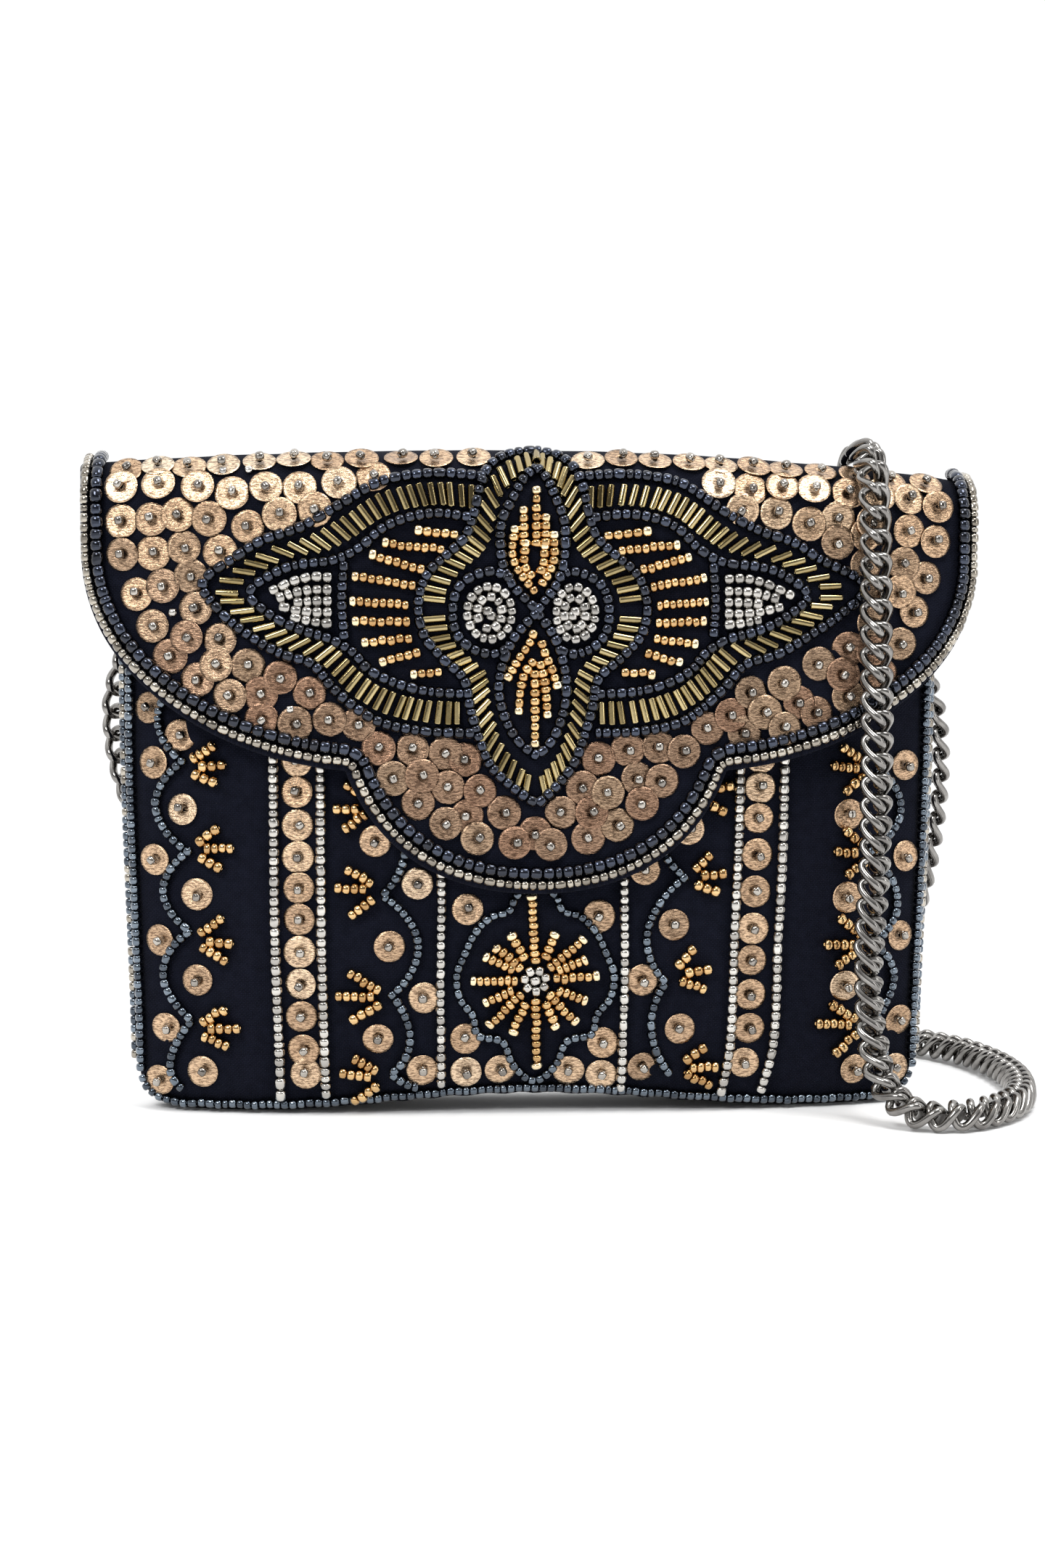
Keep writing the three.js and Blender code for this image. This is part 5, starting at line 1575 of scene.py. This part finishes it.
def build():
    """Every piece, put under its body where it has one, with the CAD nodes that it stands for hidden."""
    make_camera()
    chain()
    hardware()
    snap_parts()

    panel_work = panel_bead_work()
    seam_rows(panel_work)
    flap_work = flap_bead_work()

    hem = LINING_IN - CANVAS_THICK - 0.1
    for side, name in ((-1, "front"), (1, "back")):
        canvas = body_layer(f"{name}_canvas", side, 0, CANVAS_THICK, CANVAS, hem=hem)
        shown_as(canvas, "bag", "canvas_black", f"{name}_panel")
        pad = body_layer(f"{name}_wadding", side, FOAM_IN, FOAM_THICK, WADDING, 2.0, 7.5)
        shown_as(pad, "bag", "padding", f"{name}_padding")
        satin_layer = body_layer(f"{name}_satin", side, LINING_IN, LINING_THICK, LINING, 4.0)
        shown_as(satin_layer, "bag", "lining_black", f"{name}_lining")

    canvas = cover_layer("flap_canvas", FLAP, closed_on_top(OUTLINE), 0, CANVAS_THICK, CANVAS, hem=1.25)
    bends_with_flap(canvas, "canvas_black", "flap_cover")
    shape = closed_on_top(inset_line(OUTLINE, 4.2))
    board = cover_layer("flap_stiffener", FLAP, shape, BOARD_IN, BOARD_THICK, INTERLINING, spacing=3.0)
    bends_with_flap(board, "stiffener", "flap_board")
    shape = closed_on_top(inset_line(OUTLINE, 1.3))
    satin_layer = cover_layer("flap_satin", FLAP, shape, FLAP_LINING_IN, LINING_THICK, LINING)
    bends_with_flap(satin_layer, "lining_black", "flap_lining")

    canvas = cover_layer("yoke_canvas", YOKE, yoke_outline(), 0, CANVAS_THICK, CANVAS, waves=False)
    bends_with_yoke(canvas, "canvas_black", "fold_cover")
    shape = yoke_outline(4.0)
    board = cover_layer("yoke_stiffener", YOKE, shape, BOARD_IN, BOARD_THICK, INTERLINING, spacing=3.0, waves=False)
    bends_with_yoke(board, "stiffener", "fold_board")
    shape = yoke_outline(1.2)
    satin_layer = cover_layer("yoke_satin", YOKE, shape, FLAP_LINING_IN, LINING_THICK, LINING, waves=False)
    bends_with_yoke(satin_layer, "lining_black", "fold_lining")

    x = np.arange(-113, 113.1, 0.5)
    seam = surface_frames(lambda u, v: cover_point(YOKE, u, v), x, np.full(len(x), YOKE.total - 2.2))
    bends_with_yoke(stitches("yoke_stitches", *seam), "canvas_black")

    stands_for = {
        "navy": ("flap_edge_beads_inner", "flap_medallion"), "pewter": ("flap_edge_beads_outer",),
        "sequin": ("flap_sequins",),
    }
    for key, obj in flap_work.meshes("flap").items():
        bends_with_flap(obj, LOOKS[key][1], *stands_for.get(key, ()))
    stands_for = {
        "steel": ("front_edge_beads", "vine_left_outer", "vine_left_inner", "vine_right_inner", "vine_right_outer"),
        "silver": ("ladder_beads_left_outer", "ladder_beads_left_inner", "ladder_beads_right_outer",
                   "ladder_beads_right_inner", "star_column_left", "star_column_right"),
        "gold": ("panel_star",), "pewter": ("seam_beads_left", "seam_beads_right"),
    }
    for key, obj in panel_work.meshes("panel").items():
        shown_as(obj, "bag", LOOKS[key][1], *stands_for.get(key, ()))


# ------------------------------------------------------------------ stage


def area_light(name, place, target, size, power):
    light = bpy.data.lights.new(name, "AREA")
    light.shape = "RECTANGLE"
    light.size, light.size_y = size
    light.energy = power
    obj = bpy.data.objects.new(name, light)
    bpy.context.scene.collection.objects.link(obj)
    obj.location = place
    obj.rotation_mode = "QUATERNION"
    obj.rotation_quaternion = (Vector(target) - Vector(place)).to_track_quat("-Z", "Y")


def make_stage():
    """A pale floor that fades into a white room, with soft light from above and the front."""
    look = Look("floor", Roughness=0.9)
    cloud = look.noise(3.0, 2.0)
    look.into("Base Color", look.ramp(cloud, (0.3, (0.86, 0.86, 0.86)), (0.7, (0.90, 0.90, 0.90))))
    half = 6000
    corners = [(-half, -half, 0), (half, -half, 0), (half, half, 0), (-half, half, 0)]
    floor = mesh_object("floor", corners, [[(0, 1, 2, 3)]], look.material, smooth=False)
    make_room()
    area_light("softbox", (-0.42, -0.66, 0.66), (0, 0, 0.09), (0.34, 0.26), 4.4)
    area_light("overhead", (0.28, -0.30, 0.95), (0.02, 0, 0.16), (0.42, 0.34), 5.0)
    area_light("strip", (0.80, -0.55, 0.36), (0, 0, 0.09), (0.10, 0.5), 1.3)
    bpy.context.scene.view_settings.view_transform = "Standard"


def make_room():
    """A white room whose ceiling is brightest and whose wall in front of the bag is dimmer higher up."""
    world = bpy.data.worlds.new("room")
    bpy.context.scene.world = world
    world.use_nodes = True
    tree = world.node_tree
    made = lambda kind: tree.nodes.new("ShaderNode" + kind)
    split = made("SeparateXYZ")
    tree.links.new(made("TexCoord").outputs["Generated"], split.inputs[0])

    def step(axis, low, high, dim, bright):
        node = made("MapRange")
        node.interpolation_type = "SMOOTHSTEP"
        tree.links.new(split.outputs[axis], node.inputs["Value"])
        for socket, value in (("From Min", low), ("From Max", high), ("To Min", dim), ("To Max", bright)):
            node.inputs[socket].default_value = value
        return node.outputs["Result"]

    wall, total = made("Math"), made("Math")
    wall.operation = "MAXIMUM"
    tree.links.new(step("Y", -0.55, 0.05, 0.22, 1.06), wall.inputs[0])
    tree.links.new(step("Z", 0.08, 0.18, 1.06, 0.22), wall.inputs[1])
    tree.links.new(wall.outputs[0], total.inputs[0])
    tree.links.new(step("Z", 0.30, 0.72, 0.0, 0.55), total.inputs[1])
    tree.links.new(total.outputs[0], tree.nodes["Background"].inputs["Strength"])
    tree.nodes["Background"].inputs["Color"].default_value = (1, 1, 1, 1)


build()
make_stage()
